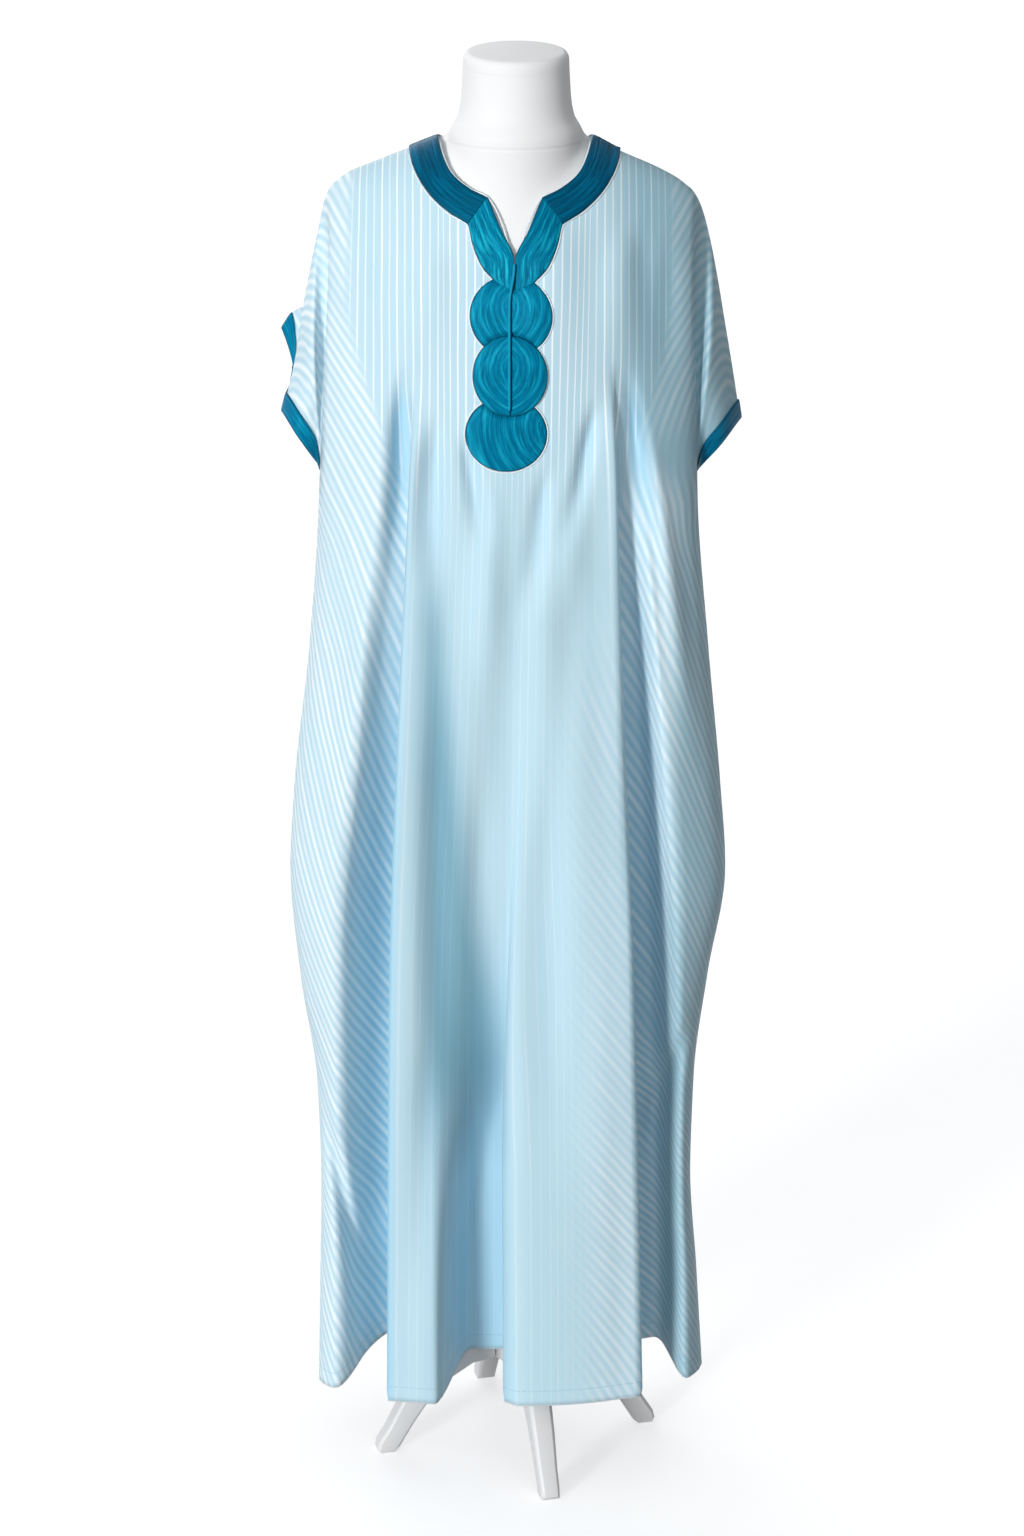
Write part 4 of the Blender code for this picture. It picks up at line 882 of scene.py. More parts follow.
# distance across the stripes at the centre and the sides, the sides' share, and how far the stripes show
def stripeMaps(grid, places):
    layout = stripeLayout
    columns, rows = grid.shape[:2]
    level = len(fineShares()[0]) - layout["levelRow"]
    middle = int(np.argmin(np.abs(places - layout["middle"])))
    across = runningTotal(np.linalg.norm(np.diff(grid, axis=0), axis=2)[:, level])
    centre = np.repeat((across - across[middle])[:, None], rows, axis=1)
    # round the sides the stripes follow the cloth, and across the folds mostly the view from the front
    steps = np.abs(np.diff(grid[:, :, 1], axis=0))
    halfway = (np.arange(columns - 1) + 0.5) / (columns - 1)
    z = grid[:, :, 2]
    rounding = smooth((np.abs(halfway - 0.5) - layout["roundFrom"]) / layout["roundOver"])[:, None]
    rounding = rounding * smooth((layout["roundZ"] - z[1:]) / layout["roundFade"])
    turned = runningTotal(steps * lerp(layout["flatShare"], 1.0, rounding))
    side, share, show = (np.zeros((columns, rows)) for _ in range(3))
    for k, place in enumerate(places):
        high = smooth((z[k] - layout["chestZ"]) / layout["edgeOver"])
        plain = lerp(layout["skirt"], layout["chest"], smooth((z[k] - layout["chestZ"]) / layout["chestOver"]))
        if place <= 2.001:
            anchor, name, strong = 1.0, "left", layout["left"]
            share[k] = smooth((lerp(*layout["leftEdge"], high) - place) / layout["fade"])
        elif place < 12.01:
            anchor, name = 10.0, "tube"
            strong = lerp(layout["tubeTop"], layout["tubeLow"], smooth((0.7 - z[k]) / 0.4))
            share[k] = smooth((layout["tubeZ"] - z[k]) / layout["tubeFade"])
            share[k] *= smooth((place - 9.0) / 1.2) * smooth((12.0 - place) / 0.4)
        else:
            anchor, name = 13.0, "right"
            gap = np.exp(-(((z[k] - layout["gapZ"]) / layout["gapWide"]) ** 2))
            strong = layout["right"] * (1 - layout["gap"] * gap)
            share[k] = smooth((place - lerp(*layout["rightEdge"], high)) / layout["fade"])
        start = int(np.argmin(np.abs(places - anchor)))
        slope = through(stripeSlopes["z"], stripeSlopes[name], z[k])
        fallen = runningTotal(slope[1:] * (z[k][:-1] - z[k][1:]))
        fallen = fallen - fallen[int(np.argmin(np.abs(z[k] - layout["startZ"])))]
        side[k] = (grid[k, :, 0] + turned[k] - turned[start] - fallen) / stripeSpread
        show[k] = lerp(plain, strong, share[k]) * (1 - layout["meetDip"] * share[k] * (1 - share[k]))
    return centre, side, share, show


# Pieces
def linkPiece(mesh, name, look):
    mesh.materials.append(look)
    obj = bpy.data.objects.new(name, mesh)
    bpy.context.scene.collection.objects.link(obj)
    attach(obj, body)
    return obj


# a sheet from a grid of points, with its own maps, turned to face outward
def sheetPiece(name, grid, outward, maps, attributes, look, thick, offset):
    across, down = grid.shape[:2]
    bm = bmesh.new()
    bmesh.ops.create_grid(bm, x_segments=across - 1, y_segments=down - 1, size=1.0)
    spots = grid.transpose(1, 0, 2).reshape(-1, 3)
    for vert, spot in zip(bm.verts, spots):
        vert.co = spot
    bm.normal_update()
    bm.faces.ensure_lookup_table()
    total = sum((face.normal for face in list(bm.faces)[:: max(1, len(bm.faces) // 50)]), Vector())
    if total.dot(Vector(outward)) < 0:
        bmesh.ops.reverse_faces(bm, faces=bm.faces)
    for face in bm.faces:
        face.smooth = True
    mesh = meshFrom(name, bm)
    corner = np.empty(len(mesh.loops), int)
    mesh.loops.foreach_get("vertex_index", corner)
    for mapName, (u, v) in maps.items():
        layer = mesh.uv_layers.new(name=mapName)
        values = np.stack([u.T.ravel()[corner], v.T.ravel()[corner]], axis=1)
        layer.data.foreach_set("uv", values.ravel().astype(np.float32))
    for attributeName, values in attributes.items():
        attribute = mesh.attributes.new(attributeName, "FLOAT", "POINT")
        attribute.data.foreach_set("value", values.T.ravel().astype(np.float32))
    obj = linkPiece(mesh, name, look)
    wall = obj.modifiers.new("wall", "SOLIDIFY")
    wall.thickness, wall.offset, wall.use_even_offset = thick, offset, False
    return obj


def gridNormals(grid, outward):
    normal = np.cross(np.gradient(grid, axis=0), np.gradient(grid, axis=1))
    normal /= np.maximum(np.linalg.norm(normal, axis=2, keepdims=True), 1e-12)
    return normal if (normal.mean(axis=(0, 1)) @ np.array(outward)) > 0 else -normal


# painted shade where the light reaches the cloth least: the hollow's right edge at each level, and the far side
shadePaintEdge = table(
    "z right",
    [(0.320, 0.006), (0.555, -0.003), (0.670, -0.019), (0.800, -0.034), (0.960, -0.050), (1.100, -0.058)],
)
shadePaint = dict(
    left=-0.113, fadeIn=0.034, fadeOut=0.042, topZ=1.12, topOver=0.15, darkening=0.92, lowDarkening=0.22,
    sideHigh=0.088, sideLow=0.157, sideFade=(0.045, 0.025), sideDarkening=0.62, backDarkening=0.45,
)


# how much painted shade darkens the cloth, 0 to 1
def shadePaintShare(x, z, facing):
    low = smooth((1.25 - z) / 0.15)
    side = smooth((x - lerp(shadePaint["sideHigh"], shadePaint["sideLow"], low)) / lerp(*shadePaint["sideFade"], low))
    # the back gets painted shade on its side turned away from the light
    if facing > 0:
        return shadePaint["backDarkening"] * side
    x, right = x - gown["neckX"], through(shadePaintEdge["z"], shadePaintEdge["right"], z)
    middle = smooth((x - shadePaint["left"]) / shadePaint["fadeIn"]) * smooth((right - x) / shadePaint["fadeOut"])
    middle = middle * smooth((shadePaint["topZ"] - z) / shadePaint["topOver"])
    middle = middle * lerp(shadePaint["darkening"], shadePaint["lowDarkening"], smooth((0.52 - z) / 0.18))
    return np.maximum(middle, shadePaint["sideDarkening"] * side)


# how much painted light tints the cloth inside the folds and creases, standing in for light that passes through
# it, 0 to 1
paintedFoldLight = dict(
    fold=0.5, foldDeep=0.10, crease=0.35, creaseDeep=0.014, middleX=-0.035, middleHalf=0.045, fade=0.03,
    middle=0.45, sides=1.12, leftEnd=-0.188, leftFade=0.04, rightEnd=0.176,
)


def paintedFoldLightShare(x, z, facing):
    glow = paintedFoldLight
    inside = glow["fold"] * smooth(foldShift(x, z, facing)[1] / glow["foldDeep"])
    inside = inside + glow["crease"] * smooth(creaseDepth(x, z, facing) / glow["creaseDeep"])
    if facing > 0:
        return inside
    # less painted light in the broad middle fold, and on the outer walls of the side folds
    off = smooth((np.abs(x - glow["middleX"]) - glow["middleHalf"]) / glow["fade"])
    inside = inside * lerp(glow["middle"], glow["sides"], off)
    inside = inside * smooth((x - glow["leftEnd"]) / glow["leftFade"])
    return inside * smooth((glow["rightEnd"] - x) / glow["fade"])


def makePanel(facing, look):
    grid, places = panelGrid(facing)
    centre, side, share, show = stripeMaps(grid, places)
    x, z = grid[:, :, 0], grid[:, :, 2]
    rise = z - z[:, -1:]
    turnedUp = smooth((hemming["deep"] + 0.002 - rise) / 0.004)
    grid[:, :, 1] += facing * hemming["lip"] * turnedUp
    fallen = runningTotal(-np.diff(z.mean(axis=0)))
    down = np.repeat(fallen[None, :], len(places), axis=0)
    maps = dict(centreStripes=(centre, down), sideStripes=(side, down))
    # the fold and hollow attributes carry painted light in the folds and painted shade
    attributes = dict(
        sideShare=share, stripeShow=show, foldLightPaint=paintedFoldLightShare(x, z, facing), hemRise=rise,
        shadePaint=shadePaintShare(x - packedShift, z, facing),
    )
    name = sides[facing]["name"]
    piece = sheetPiece(name, grid, (0, facing, 0), maps, attributes, look, gown["thick"], 0.0)
    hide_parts(sides[facing]["node"])
    print("panel", name, grid.shape[:2], round(sheetArea(grid), 3), "m2")
    return piece, grid


def sheetArea(grid):
    a, b = grid[1:, 1:] - grid[:-1, :-1], grid[1:, :-1] - grid[:-1, 1:]
    return float(np.linalg.norm(np.cross(a, b), axis=2).sum() / 2)


# Embroidered bands and discs, raised on the cloth
trim = dict(
    lift=0.0010,
    high=0.0016,
    edgeHigh=0.45,
    roundOver=0.0045,
    thick=0.0012,
    relief=0.00016,
    across=44,
    along=120,
    slitGap=0.0009,
    lap=0.0005,
    groove=0.0088,
    grooveDeep=0.0008,
    grooveWide=0.0007,
    # rows lie closer towards the end of a line, the more so the higher this is
    neckCrowd=1.8,
    slitCrowd=1.0,
    backCrowd=1.6,
)
# coarse and fine threads: turns in a metre across and along them, added to the seed, and share
strandSizes = ((420, 26, 0, 1.0), (900, 50, 7, 0.6))
seeds = dict(neck=3, slit=9, back=21, cuff=31, disc=40)


# a point of a line of (x, z) points at a share of its length
def along(rows, t):
    run = runningTotal(np.hypot(np.diff(rows["x"]), np.diff(rows["z"])))
    return through(run / run[-1], rows["x"], t), through(run / run[-1], rows["z"], t)


# uneven height of the threads: long along v and narrow across u, in metres
def strands(u, v, seed):
    values = np.zeros(u.size)
    for across, down, more, share in strandSizes:
        spots = zip(u.ravel(), v.ravel())
        waves = [noise.noise(Vector((a * across, b * down, seed + more))) for a, b in spots]
        values = values + share * np.array(waves)
    return values.reshape(u.shape)


# a padded satin band over its grid of cloth points: columns across it, rows along it
def bandPiece(name, node, base, outward, look, seed, lap=0.0, seams=(False, False), groove=None):
    wide = np.linalg.norm(np.diff(base, axis=0), axis=2)
    long = np.linalg.norm(np.diff(base, axis=1), axis=2)
    u, v = runningTotal(wide), np.repeat(runningTotal(long.mean(axis=0))[None, :], base.shape[0], axis=0)
    edge = np.minimum(u, u[-1] - u)
    share = np.clip(edge / trim["roundOver"], 0, 1)
    padding = trim["high"] * lerp(trim["edgeHigh"], 1.0, np.sqrt(1 - (1 - share) ** 2))
    height = trim["lift"] + lap + padding + trim["relief"] * strands(u, v, seed)
    if groove:  # a sewn channel beside the inner edge
        height = height - trim["grooveDeep"] * np.exp(-(((u - groove) / trim["grooveWide"]) ** 2))
    normal = gridNormals(base, outward)
    for end, joined in zip((0, -1), seams):
        if joined:
            normal[:, end, 1] = 0.0
            normal[:, end] /= np.linalg.norm(normal[:, end], axis=1, keepdims=True)
    grid = base + normal * height[:, :, None]
    maps, attributes = dict(stitches=(u, v)), dict(edge=edge)
    piece = sheetPiece(name, grid, outward, maps, attributes, look, trim["thick"], -1.0)
    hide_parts(node)
    return piece


# cloth points between a band's inner and outer line
def bandBase(inner, outer, side, facing, crowd):
    t = 1 - (1 - np.linspace(0, 1, trim["along"])) ** crowd
    (x0, z0), (x1, z1) = along(inner, t), along(outer, t)
    v = np.linspace(0, 1, trim["across"])[:, None]
    out, z = lerp(x0, x1, v), lerp(z0, z1, v)
    if facing < 0:
        out = np.maximum(out, trim["slitGap"] / 2)
    x = gown["neckX"] + side * out
    return np.stack([x + packedShift, surfaceY(x, z, facing), z], axis=2)


def makeBands(looks):
    pieces = []
    inner = {name: values[1:] for name, values in neckline.items()}
    for side, label in ((-1, "Left"), (1, "Right")):
        left, node, front = side < 0, label.lower(), (0, -1, 0)
        base = bandBase(inner, bandOuter, side, -1, trim["neckCrowd"])
        pieces.append(bandPiece(
            "neckBand" + label, "neck_band_" + node, base, front, looks["band"], seeds["neck"] + side,
            seams=(False, True), groove=None if left else trim["groove"],
        ))
        # the right slit band takes the darker copy of its thread: painted shade
        base = bandBase(slitInner, slitOuter, side, -1, trim["slitCrowd"])
        pieces.append(bandPiece(
            "slitBand" + label, "slit_band_" + node, base, front, looks["slit" if left else "slitRightShaded"],
            seeds["slit"] + side, lap=trim["lap"] if left else 0.0,
        ))
    halves = [bandBase(backNeckline, backBandOuter, side, 1, trim["backCrowd"]) for side in (-1, 1)]
    base = np.concatenate([halves[0][:, ::-1], halves[1][:, 1:]], axis=1)
    look, seed = looks["band"], seeds["back"]
    pieces.append(bandPiece("neckBandBack", "neck_band_back", base, (0, 1, 0), look, seed, seams=(True, True)))
    return pieces


cuff = dict(deep=0.0205, rows=22, spare=8, outward=0.3)


def makeCuffs(grids, looks):
    pieces = []
    count = len(fineShares()[0])
    reach = sleeveSpans * gown["finerAcross"] + cuff["spare"]
    inside = np.linspace(0.0, cuff["deep"], cuff["rows"])
    for facing, grid in grids.items():
        for side, label in ((-1, "Left"), (1, "Right")):
            arm = grid[:reach, :count] if side < 0 else grid[::-1, :count][:reach]
            base = []
            for row in range(count):
                line = arm[:, row]
                run = runningTotal(np.linalg.norm(np.diff(line, axis=0), axis=1))
                base.append(np.stack([np.interp(inside, run, line[:, k]) for k in range(3)], axis=1))
            base = np.array(base).transpose(1, 0, 2)
            place = "Front" if facing < 0 else "Back"
            # the right cuffs take the darker copy of their thread: painted shade
            pieces.append(bandPiece(
                "cuff" + label + place, f"cuff_{label.lower()}_{place.lower()}", base,
                (side * cuff["outward"], facing, 0), looks["cuff" if side < 0 else "cuffRight"],
                seeds["cuff"] + side + 5 * facing,
            ))
    return pieces


discs = dict(
    # middle, half width, half height
    top=(-0.001, 1.315, 0.0415, 0.0400),
    middle=(-0.002, 1.255, 0.0375, 0.0410),
    bottom=(-0.006, 1.1955, 0.0415, 0.0380),
    flat=0.0009,
    high=0.0030,
    edgeHigh=0.30,
    over=0.0014,
    lap=0.0006,
    # the bands' foot, where the top disc is pressed flat
    footZ=1.340,
    footSlope=0.42,
    points=90,
    rings=0.00007,
    ringCount=6,
    ringSway=0.10,
    ringFrom=0.35,
    ringOver=0.4,
    sway=0.0013,
    swayScale=45,
    arcDrop=0.008,
    arcTurn=0.045,
    edgeWide=0.040,
    leftEdge=0.0012,
)
# from and to across the disc, the side of the slit, and how far the thread's arcs bow out from the placket
discParts = dict(
    whole=(-1.0, 1.0, 0.0, 0.055), left=(-1.0, 0.0, -1.0, 0.016), right=(0.0, 1.0, 1.0, -0.016)
)


def ellipse(name, x, z):
    midX, midZ, wide, tall = discs[name]
    return np.hypot((x - midX) / wide, (z - midZ) / tall)


def bandFoot(x):
    return discs["footZ"] + discs["footSlope"] * np.abs(x - gown["neckX"])


# height of a disc above the cloth, pressed flat where the middle disc or a band lies over it
def discHeight(name, x, z):
    rho = np.clip(ellipse(name, x, z), 0, 1)
    high = discs["flat"] + discs["high"] * lerp(discs["edgeHigh"], 1.0, np.sqrt(np.clip(1 - rho**5, 0, 1)))
    if name == "middle":
        return high + discs["over"]
    high = lerp(discs["flat"], high, smooth((ellipse("middle", x, z) - 0.98) / 0.14))
    if name == "top":
        high = lerp(high, discs["flat"], smooth((z - bandFoot(x) + 0.004) / 0.008))
    return high


def frontNormal(x, z):
    step = 0.002
    slopeX = (surfaceY(x + step, z, -1) - surfaceY(x - step, z, -1)) / (2 * step)
    slopeZ = (surfaceY(x, z + step, -1) - surfaceY(x, z - step, -1)) / (2 * step)
    normal = np.stack([slopeX, -np.ones_like(slopeX), slopeZ], axis=2)
    return normal / np.linalg.norm(normal, axis=2, keepdims=True)


def makeDisc(name, label, look, seed):
    midX, midZ, wide, tall = discs[name]
    first, last, apart, bow = discParts[label]
    whole, left, points = label == "whole", label == "left", discs["points"]
    a = np.linspace(first, last, points if whole else points // 2)[:, None]
    b = np.linspace(-1, 1, points)[None, :]
    # a square drawn out to a disc, so that it has no pole
    unitX, unitZ = a * np.sqrt(1 - b**2 / 2), b * np.sqrt(1 - a**2 / 2)
    x, z = midX + apart * trim["slitGap"] / 2 + wide * unitX, midZ + tall * unitZ
    rho = np.hypot(unitX, unitZ)
    scale = discs["swayScale"]
    sway = np.array([noise.noise(Vector((p * scale, q * scale, seed))) for p, q in zip(x.ravel(), z.ravel())])
    sway = sway.reshape(x.shape)
    ringWave = np.sin((rho + discs["ringSway"] * sway) * 2 * math.pi * discs["ringCount"])
    ringWave = ringWave * smooth((rho - discs["ringFrom"]) / discs["ringOver"])
    # the thread is laid in arcs
    aside, above = x - midX - bow, z - midZ - discs["arcDrop"]
    u, v = np.hypot(aside, above) + discs["sway"] * sway, discs["arcTurn"] * np.arctan2(above, np.abs(aside))
    height = discHeight(name, x, z) + discs["rings"] * ringWave + trim["relief"] * strands(u, v, seed)
    edge = (1 - rho) * discs["edgeWide"]
    if not whole:
        edge = np.minimum(edge, np.abs(unitX) * wide + (discs["leftEdge"] if left else 0.0))
        height = height + (discs["lap"] if left else 0.0)
    base = np.stack([x + packedShift, surfaceY(x, z, -1), z], axis=2)
    grid = base + frontNormal(x, z) * height[:, :, None]
    pieceName = "disc" + name.capitalize() + ("" if whole else label.capitalize())
    maps, attributes = dict(stitches=(u, v)), dict(edge=edge)
    piece = sheetPiece(pieceName, grid, (0, -1, 0), maps, attributes, look, trim["thick"], -1.0)
    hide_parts("disc_" + name + ("" if whole else "_" + label))
    return piece


def makeDiscs(looks):
    parts = (("top", "left"), ("top", "right"), ("middle", "left"), ("middle", "right"), ("bottom", "whole"))
    look, seed = looks["disc"], seeds["disc"]
    return [makeDisc(name, label, look, seed + 3 * k) for k, (name, label) in enumerate(parts)]


# A pale couched cord runs beside every dark edge
edging = dict(
    radius=0.00085,
    beside=0.0011,
    neckBeside=0.2,
    sunk=0.7,
    sides=6,
    points=150,
    tip=0.45,
    hiddenBelow=0.001,
    # the rolled edge of the placket and a dark cord beside it, its painted shadow
    placket=0.0015,
    placketPoints=90,
    placketTop=1.367,
    placketFoot=1.221,
    placketAside=(0.0008, 0.0058),
    shadeAside=1.25,
    shadeSunk=0.1,
    shade=0.55,
)
placketHeights = table(
    "z      high",
    [
        (1.222, 0.0058), (1.250, 0.0064), (1.280, 0.0062), (1.300, 0.0050), (1.330, 0.0046), (1.345, 0.0036),
        (1.366, 0.0030),
    ],
)
# the parts of each disc's edge that have a cord, in degrees
discSpans = dict(top=((-62, 44), (136, 242)), middle=((-90, 90), (90, 270)), bottom=((-252, 72),))


# a round cord through points, thinner and closed at its ends
def ropePiece(name, points, radius, look):
    run = np.gradient(points, axis=0)
    run /= np.linalg.norm(run, axis=1, keepdims=True)
    aside = np.cross(run, (0.0, 1.0, 0.0))
    aside /= np.linalg.norm(aside, axis=1, keepdims=True)
    up = np.cross(aside, run)
    turns = np.linspace(0, 2 * math.pi, edging["sides"], endpoint=False)
    ends = np.ones(len(points))
    ends[[0, -1]] = edging["tip"]
    rings = []
    for spot, across, over, end in zip(points, aside, up, ends):
        rings.append(spot + radius * end * (np.cos(turns)[:, None] * across + np.sin(turns)[:, None] * over))
    piece = loftPiece(name, rings, look)
    return piece


# points on the cloth beside a line seen from the front or back
def besideLine(x, z, facing, offset):
    dx, dz = np.gradient(x), np.gradient(z)
    length = np.hypot(dx, dz)
    x, z = x - dz / length * offset, z + dx / length * offset
    y = surfaceY(x, z, facing) + facing * (gown["thick"] / 2 + edging["radius"] * edging["sunk"])
    return np.stack([x + packedShift, y, z], axis=1)


def makeCords(look, ridgeLook, shadeLook):
    t = np.linspace(0.0, 1.0, edging["points"])
    pieces, outside, inside = [], edging["beside"], -edging["beside"] * edging["neckBeside"]
    outer = {axis: np.concatenate([bandOuter[axis][::-1], slitOuter[axis][1:]]) for axis in ("x", "z")}
    inner = {axis: neckline[axis][::-1] for axis in ("x", "z")}
    for side, label in ((-1, "Left"), (1, "Right")):
        for name, rows, offset in (("outerCord", outer, outside), ("neckCord", inner, inside)):
            x, z = along(rows, t[3:-2])
            line = besideLine(gown["neckX"] + side * x, z, -1, side * offset)
            pieces.append(ropePiece(name + label, line, edging["radius"], look))
    backs = (("outerCordBack", backBandOuter, -outside), ("neckCordBack", backNeckline, -inside))
    for name, rows, offset in backs:
        x = np.concatenate([-rows["x"][::-1], rows["x"][1:]])
        z = np.concatenate([rows["z"][::-1], rows["z"][1:]])
        x, z = along(dict(x=x, z=z), t[2:-2])
        pieces.append(ropePiece(name, besideLine(gown["neckX"] + x, z, 1, offset), edging["radius"], look))
    for name, spans in discSpans.items():
        for k, (start, end) in enumerate(spans):
            turn = np.radians(np.linspace(start, end, edging["points"]))
            midX, midZ, wide, tall = discs[name]
            x, z = midX + wide * np.cos(turn), midZ + tall * np.sin(turn)
            near = ("middle",) if name != "middle" else ("top", "bottom")
            hidden = np.any([ellipse(other, x, z) < 1.0 for other in near], axis=0)
            if name == "top":
                hidden |= z > bandFoot(x) + edging["hiddenBelow"]
            line = besideLine(x[~hidden], z[~hidden], -1, -outside)
            pieces.append(ropePiece(f"{name}Cord{k + 1}", line, edging["radius"], look))
    placket = edging["placket"]
    z = np.linspace(edging["placketTop"], edging["placketFoot"], edging["placketPoints"])
    x = gown["neckX"] - lerp(*edging["placketAside"], smooth((1.366 - z) / 0.04)) + packedShift
    y = surfaceY(x - packedShift, z, -1) - through(placketHeights["z"], placketHeights["high"], z)
    pieces.append(ropePiece("placketEdge", np.stack([x, y, z], axis=1), placket, ridgeLook))
    # a dark cord beside the rolled edge stands in for its shadow: painted shadow
    line = np.stack([x + placket * edging["shadeAside"], y + placket * edging["shadeSunk"], z], axis=1)
    pieces.append(ropePiece("placketShade", line, placket * edging["shade"], shadeLook))
    return pieces


# The dress form
form = dict(
    middleX=0.004,
    tip=0.166,
    tipDeep=0.13,
    widest=0.30,
    shoulderFrom=1.300,
    shoulderTo=1.372,
    inset=0.005,
    neckInset=0.0011,
    seatDrop=0.0023,
    shoulderRound=0.0060,
    blend=0.005,
    neckFromZ=1.37,
    footZ=0.735,
    footRound=0.10,
    topZ=1.555,
    capTilt=math.radians(5.0),
    tiltFromZ=1.49,
    turns=96,
    # the neck cover's lower edge stands proud, with a small groove under it
    seamZ=1.4785,
    seamWide=0.0016,
    seamProud=0.0002,
    seamGroove=0.0004,
    gap=0.0001,
)
torso = table(
    "z      wide   front  back   power",
    [
        (0.735, 0.098, 0.054, 0.056, 2.2), (0.760, 0.112, 0.064, 0.066, 2.3), (0.860, 0.120, 0.074, 0.072, 2.3),
        (0.960, 0.116, 0.077, 0.070, 2.3), (1.060, 0.112, 0.082, 0.070, 2.3), (1.140, 0.124, 0.094, 0.077, 2.3),
        (1.230, 0.144, 0.102, 0.084, 2.4), (1.300, 0.152, 0.098, 0.086, 2.4),
    ],
)
neck = table(
    "z      radius  back",
    [
        (1.440, 0.0690, 0.0485), (1.470, 0.0690, 0.0500), (1.484, 0.0688, 0.0530), (1.492, 0.0664, 0.0545),
        (1.503, 0.0601, 0.0560), (1.519, 0.0568, 0.0560), (1.539, 0.0553, 0.0553), (1.553, 0.0545, 0.0545),
    ],
)
# the neck cap's rings: height above its seat, and share of the neck's radius
cap = table(
    "lift share",
    [
        (0.0, 1.0), (0.0040, 0.999), (0.0065, 0.995), (0.0088, 0.984), (0.0107, 0.966), (0.0122, 0.940),
        (0.0131, 0.910), (0.0135, 0.87),
    ],
)


# the form's radius under the gown: it fills the shoulders up to the cloth
def gownRadius(turns, z):
    low, high = np.zeros_like(turns), np.full_like(turns, form["widest"])
    for _ in range(40):
        r = (low + high) / 2
        x, y = form["middleX"] + r * np.cos(turns), np.abs(r * np.sin(turns))
        drop = form["seatDrop"] + form["shoulderRound"] * smooth(y / 0.012)
        room = np.where(np.sin(turns) < 0, depth(x, z + drop, -1), depth(x, z + drop, 1))
        inset = lerp(form["neckInset"], form["inset"], smooth((np.abs(x - gown["neckX"]) - 0.082) / 0.03))
        room = room - inset * smooth(room / 0.03)
        low, high = np.where(y < room, r, low), np.where(y < room, high, r)
    tip = np.abs(np.cos(turns) / form["tip"]) ** 3 + np.abs(np.sin(turns) / form["tipDeep"]) ** 3
    tip = tip ** (-1 / 3)
    return (np.maximum(low, 1e-4) ** -14 + tip**-14) ** (-1 / 14)


def formRadius(turns, z):
    level = min(z, torso["z"][-1])
    sizes = ("wide", "power", "front", "back")
    wide, power, front, back = (through(torso["z"], torso[name], level) for name in sizes)
    deep = np.where(np.sin(turns) < 0, front, back)
    radius = (np.abs(np.cos(turns) / wide) ** power + np.abs(np.sin(turns) / deep) ** power) ** (-1 / power)
    if z > form["shoulderFrom"]:
        share = smooth((z - form["shoulderFrom"]) / (form["shoulderTo"] - form["shoulderFrom"]))
        radius = lerp(radius, gownRadius(turns, z), float(share))
    if z > form["neckFromZ"]:
        wide, back = (through(neck["z"], neck[name], z) for name in ("radius", "back"))
        deep = np.where(np.sin(turns) > 0, back, wide)
        column = 1 / np.hypot(np.cos(turns) / wide, np.sin(turns) / deep)
        blend = form["blend"]
        merged = np.log(np.exp(radius / blend) + np.exp(column / blend)) * blend
        radius = merged if z < gown["neckTopZ"] else column
    return radius


# a closed solid through rings of points, lowest first
def loftPiece(name, rings, look):
    bm = bmesh.new()
    edges = []
    for ring in rings:
        made = bmesh.ops.create_circle(bm, cap_ends=False, segments=len(ring), radius=1.0)["verts"]
        for vert, spot in zip(made, ring):
            vert.co = spot
        edges.append(sorted({edge for vert in made for edge in vert.link_edges}, key=lambda edge: edge.index))
        bm.edges.index_update()
    for low, high in zip(edges, edges[1:]):
        bmesh.ops.bridge_loops(bm, edges=low + high)
    for loop in (edges[0], edges[-1]):
        bmesh.ops.edgeloop_fill(bm, edges=loop)
    bmesh.ops.recalc_face_normals(bm, faces=bm.faces)
    for face in bm.faces:
        face.smooth = len(face.verts) == 4
    mesh = meshFrom(name, bm)
    mesh.set_sharp_from_angle(angle=math.radians(40))
    return linkPiece(mesh, name, look)


# one level ring of the form, tilted towards the cap
def formRing(radius, turns, z, tilt):
    y = radius * np.sin(turns)
    return np.stack([form["middleX"] + packedShift + radius * np.cos(turns), y, z + tilt * y], axis=1)


def makeForm(look):
    turns = np.linspace(0, 2 * math.pi, form["turns"], endpoint=False)
    capTilt = math.tan(form["capTilt"])
    # closer at the rounded foot, the shoulders and the neck's seam
    heights = np.concatenate([
        form["footZ"] + np.array([0.0, 0.003, 0.010, 0.020]), np.linspace(0.77, 1.29, 30),
        np.linspace(1.30, 1.41, 12), np.linspace(1.414, 1.472, 16),
        form["seamZ"] + np.linspace(-0.004, 0.005, 13), np.linspace(1.486, 1.551, 17), [form["topZ"]],
    ])
    rings = []
    for z in heights:
        radius = formRadius(turns, float(z))
        radius = radius * float(1 - form["footRound"] * (1 - smooth((z - form["footZ"]) / 0.024)))
        seam = (z - form["seamZ"]) / form["seamWide"]
        radius = radius + form["seamProud"] * math.exp(-((seam - 1.2) ** 2))
        radius = radius - form["seamGroove"] * math.exp(-((seam + 0.4) ** 2))
        tilt = capTilt * smooth((z - form["tiltFromZ"]) / (form["topZ"] - form["tiltFromZ"]))
        rings.append(formRing(radius, turns, z, tilt))
    base, radius = form["topZ"] + form["gap"], neck["radius"][-1]
    steps = zip(cap["lift"], cap["share"])
    capRings = [formRing(radius * share, turns, base + lift, capTilt) for lift, share in steps]
    for name, node, levels in (("formTorso", "form_torso", rings), ("formNeckCap", "form_neck_cap", capRings)):
        piece = loftPiece(name, levels, look)
        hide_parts(node)


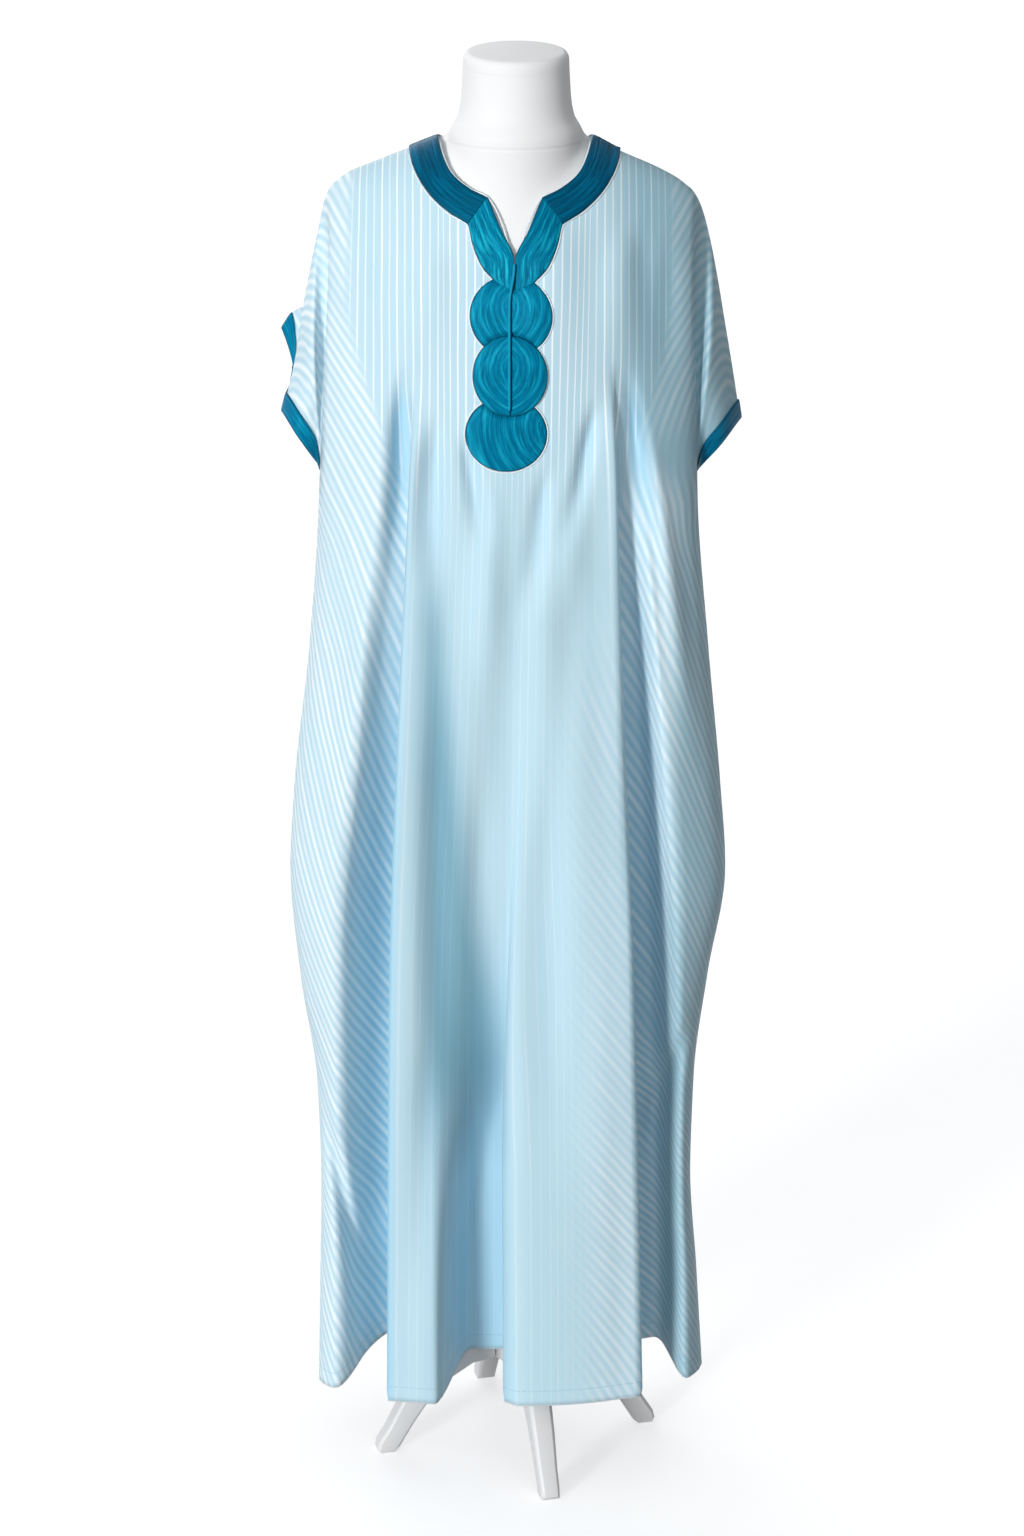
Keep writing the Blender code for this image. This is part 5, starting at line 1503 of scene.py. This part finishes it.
# The stand
stand = dict(
    legTurn=math.radians(-76.0),
    legRound=0.0050,
    poleRound=0.0012,
    widen=0.26,
    widenTop=0.10,
    sharp=math.radians(28),
    shadedSharp=math.radians(35),
)


# a node's own shape with its edges rounded over
def roundedCopy(name, node, look, width, turn=None):
    bm = bmesh.new()
    bm.from_mesh(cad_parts[node].data)
    bmesh.ops.remove_doubles(bm, verts=bm.verts, dist=1e-6)
    bmesh.ops.dissolve_limit(bm, angle_limit=math.radians(1.0), verts=bm.verts, edges=bm.edges)
    if turn is not None:  # a leg is cast a little wider towards the hub
        aside = Vector((-math.sin(turn), math.cos(turn), 0.0))
        middle = Vector((form["middleX"] + packedShift, 0.0, 0.0))
        for vert in bm.verts:
            share = stand["widen"] * float(smooth(vert.co.z / stand["widenTop"]))
            vert.co += aside * (vert.co - middle).dot(aside) * share
    joined = [edge for edge in bm.edges if len(edge.link_faces) == 2]
    sharp = [edge for edge in joined if edge.calc_face_angle() > stand["sharp"]]
    bmesh.ops.bevel(
        bm, geom=sharp, offset=width, segments=3, profile=0.5, affect="EDGES", material=-1, clamp_overlap=True
    )
    for face in bm.faces:
        face.smooth = True
    mesh = meshFrom(name, bm)
    mesh.set_sharp_from_angle(angle=stand["shadedSharp"])
    piece = linkPiece(mesh, name, look)
    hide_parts(node)


def makeStand(look):
    for k in range(4):
        turn = stand["legTurn"] + k * math.pi / 2
        roundedCopy(f"standLeg{k + 1}", f"stand_leg_{k + 1}", look, stand["legRound"], turn)
    roundedCopy("standPole", "stand_pole", look, stand["poleRound"])
    roundedCopy("standHub", "stand_hub", look, stand["poleRound"])


makeCamera()
makeLight()
makeFloor()
print("camera, light and floor are set")
sateen = stripedSateen()
grids, panels = {}, {}
for facing in (-1, 1):
    panels[facing], grids[facing] = makePanel(facing, sateen)
looks = {kind: rayonStitch(kind) for kind in threads}
bands = makeBands(looks)
cuffs = makeCuffs(grids, looks)
rounds = makeDiscs(looks)
# the last cord is the placket edge's painted shadow
cords = makeCords(
    plainThread("mercerised_cotton_cord", "#eef8fb"), plainThread("rayon_placket_cord", "#0e9cc0", 0.1),
    plainThread("placket_shadow_cord", "#013850", 0.0),
)
print("bands, cuffs and discs are sewn on")
makeForm(jersey())
makeStand(powderCoat())
print("form and stand are built")
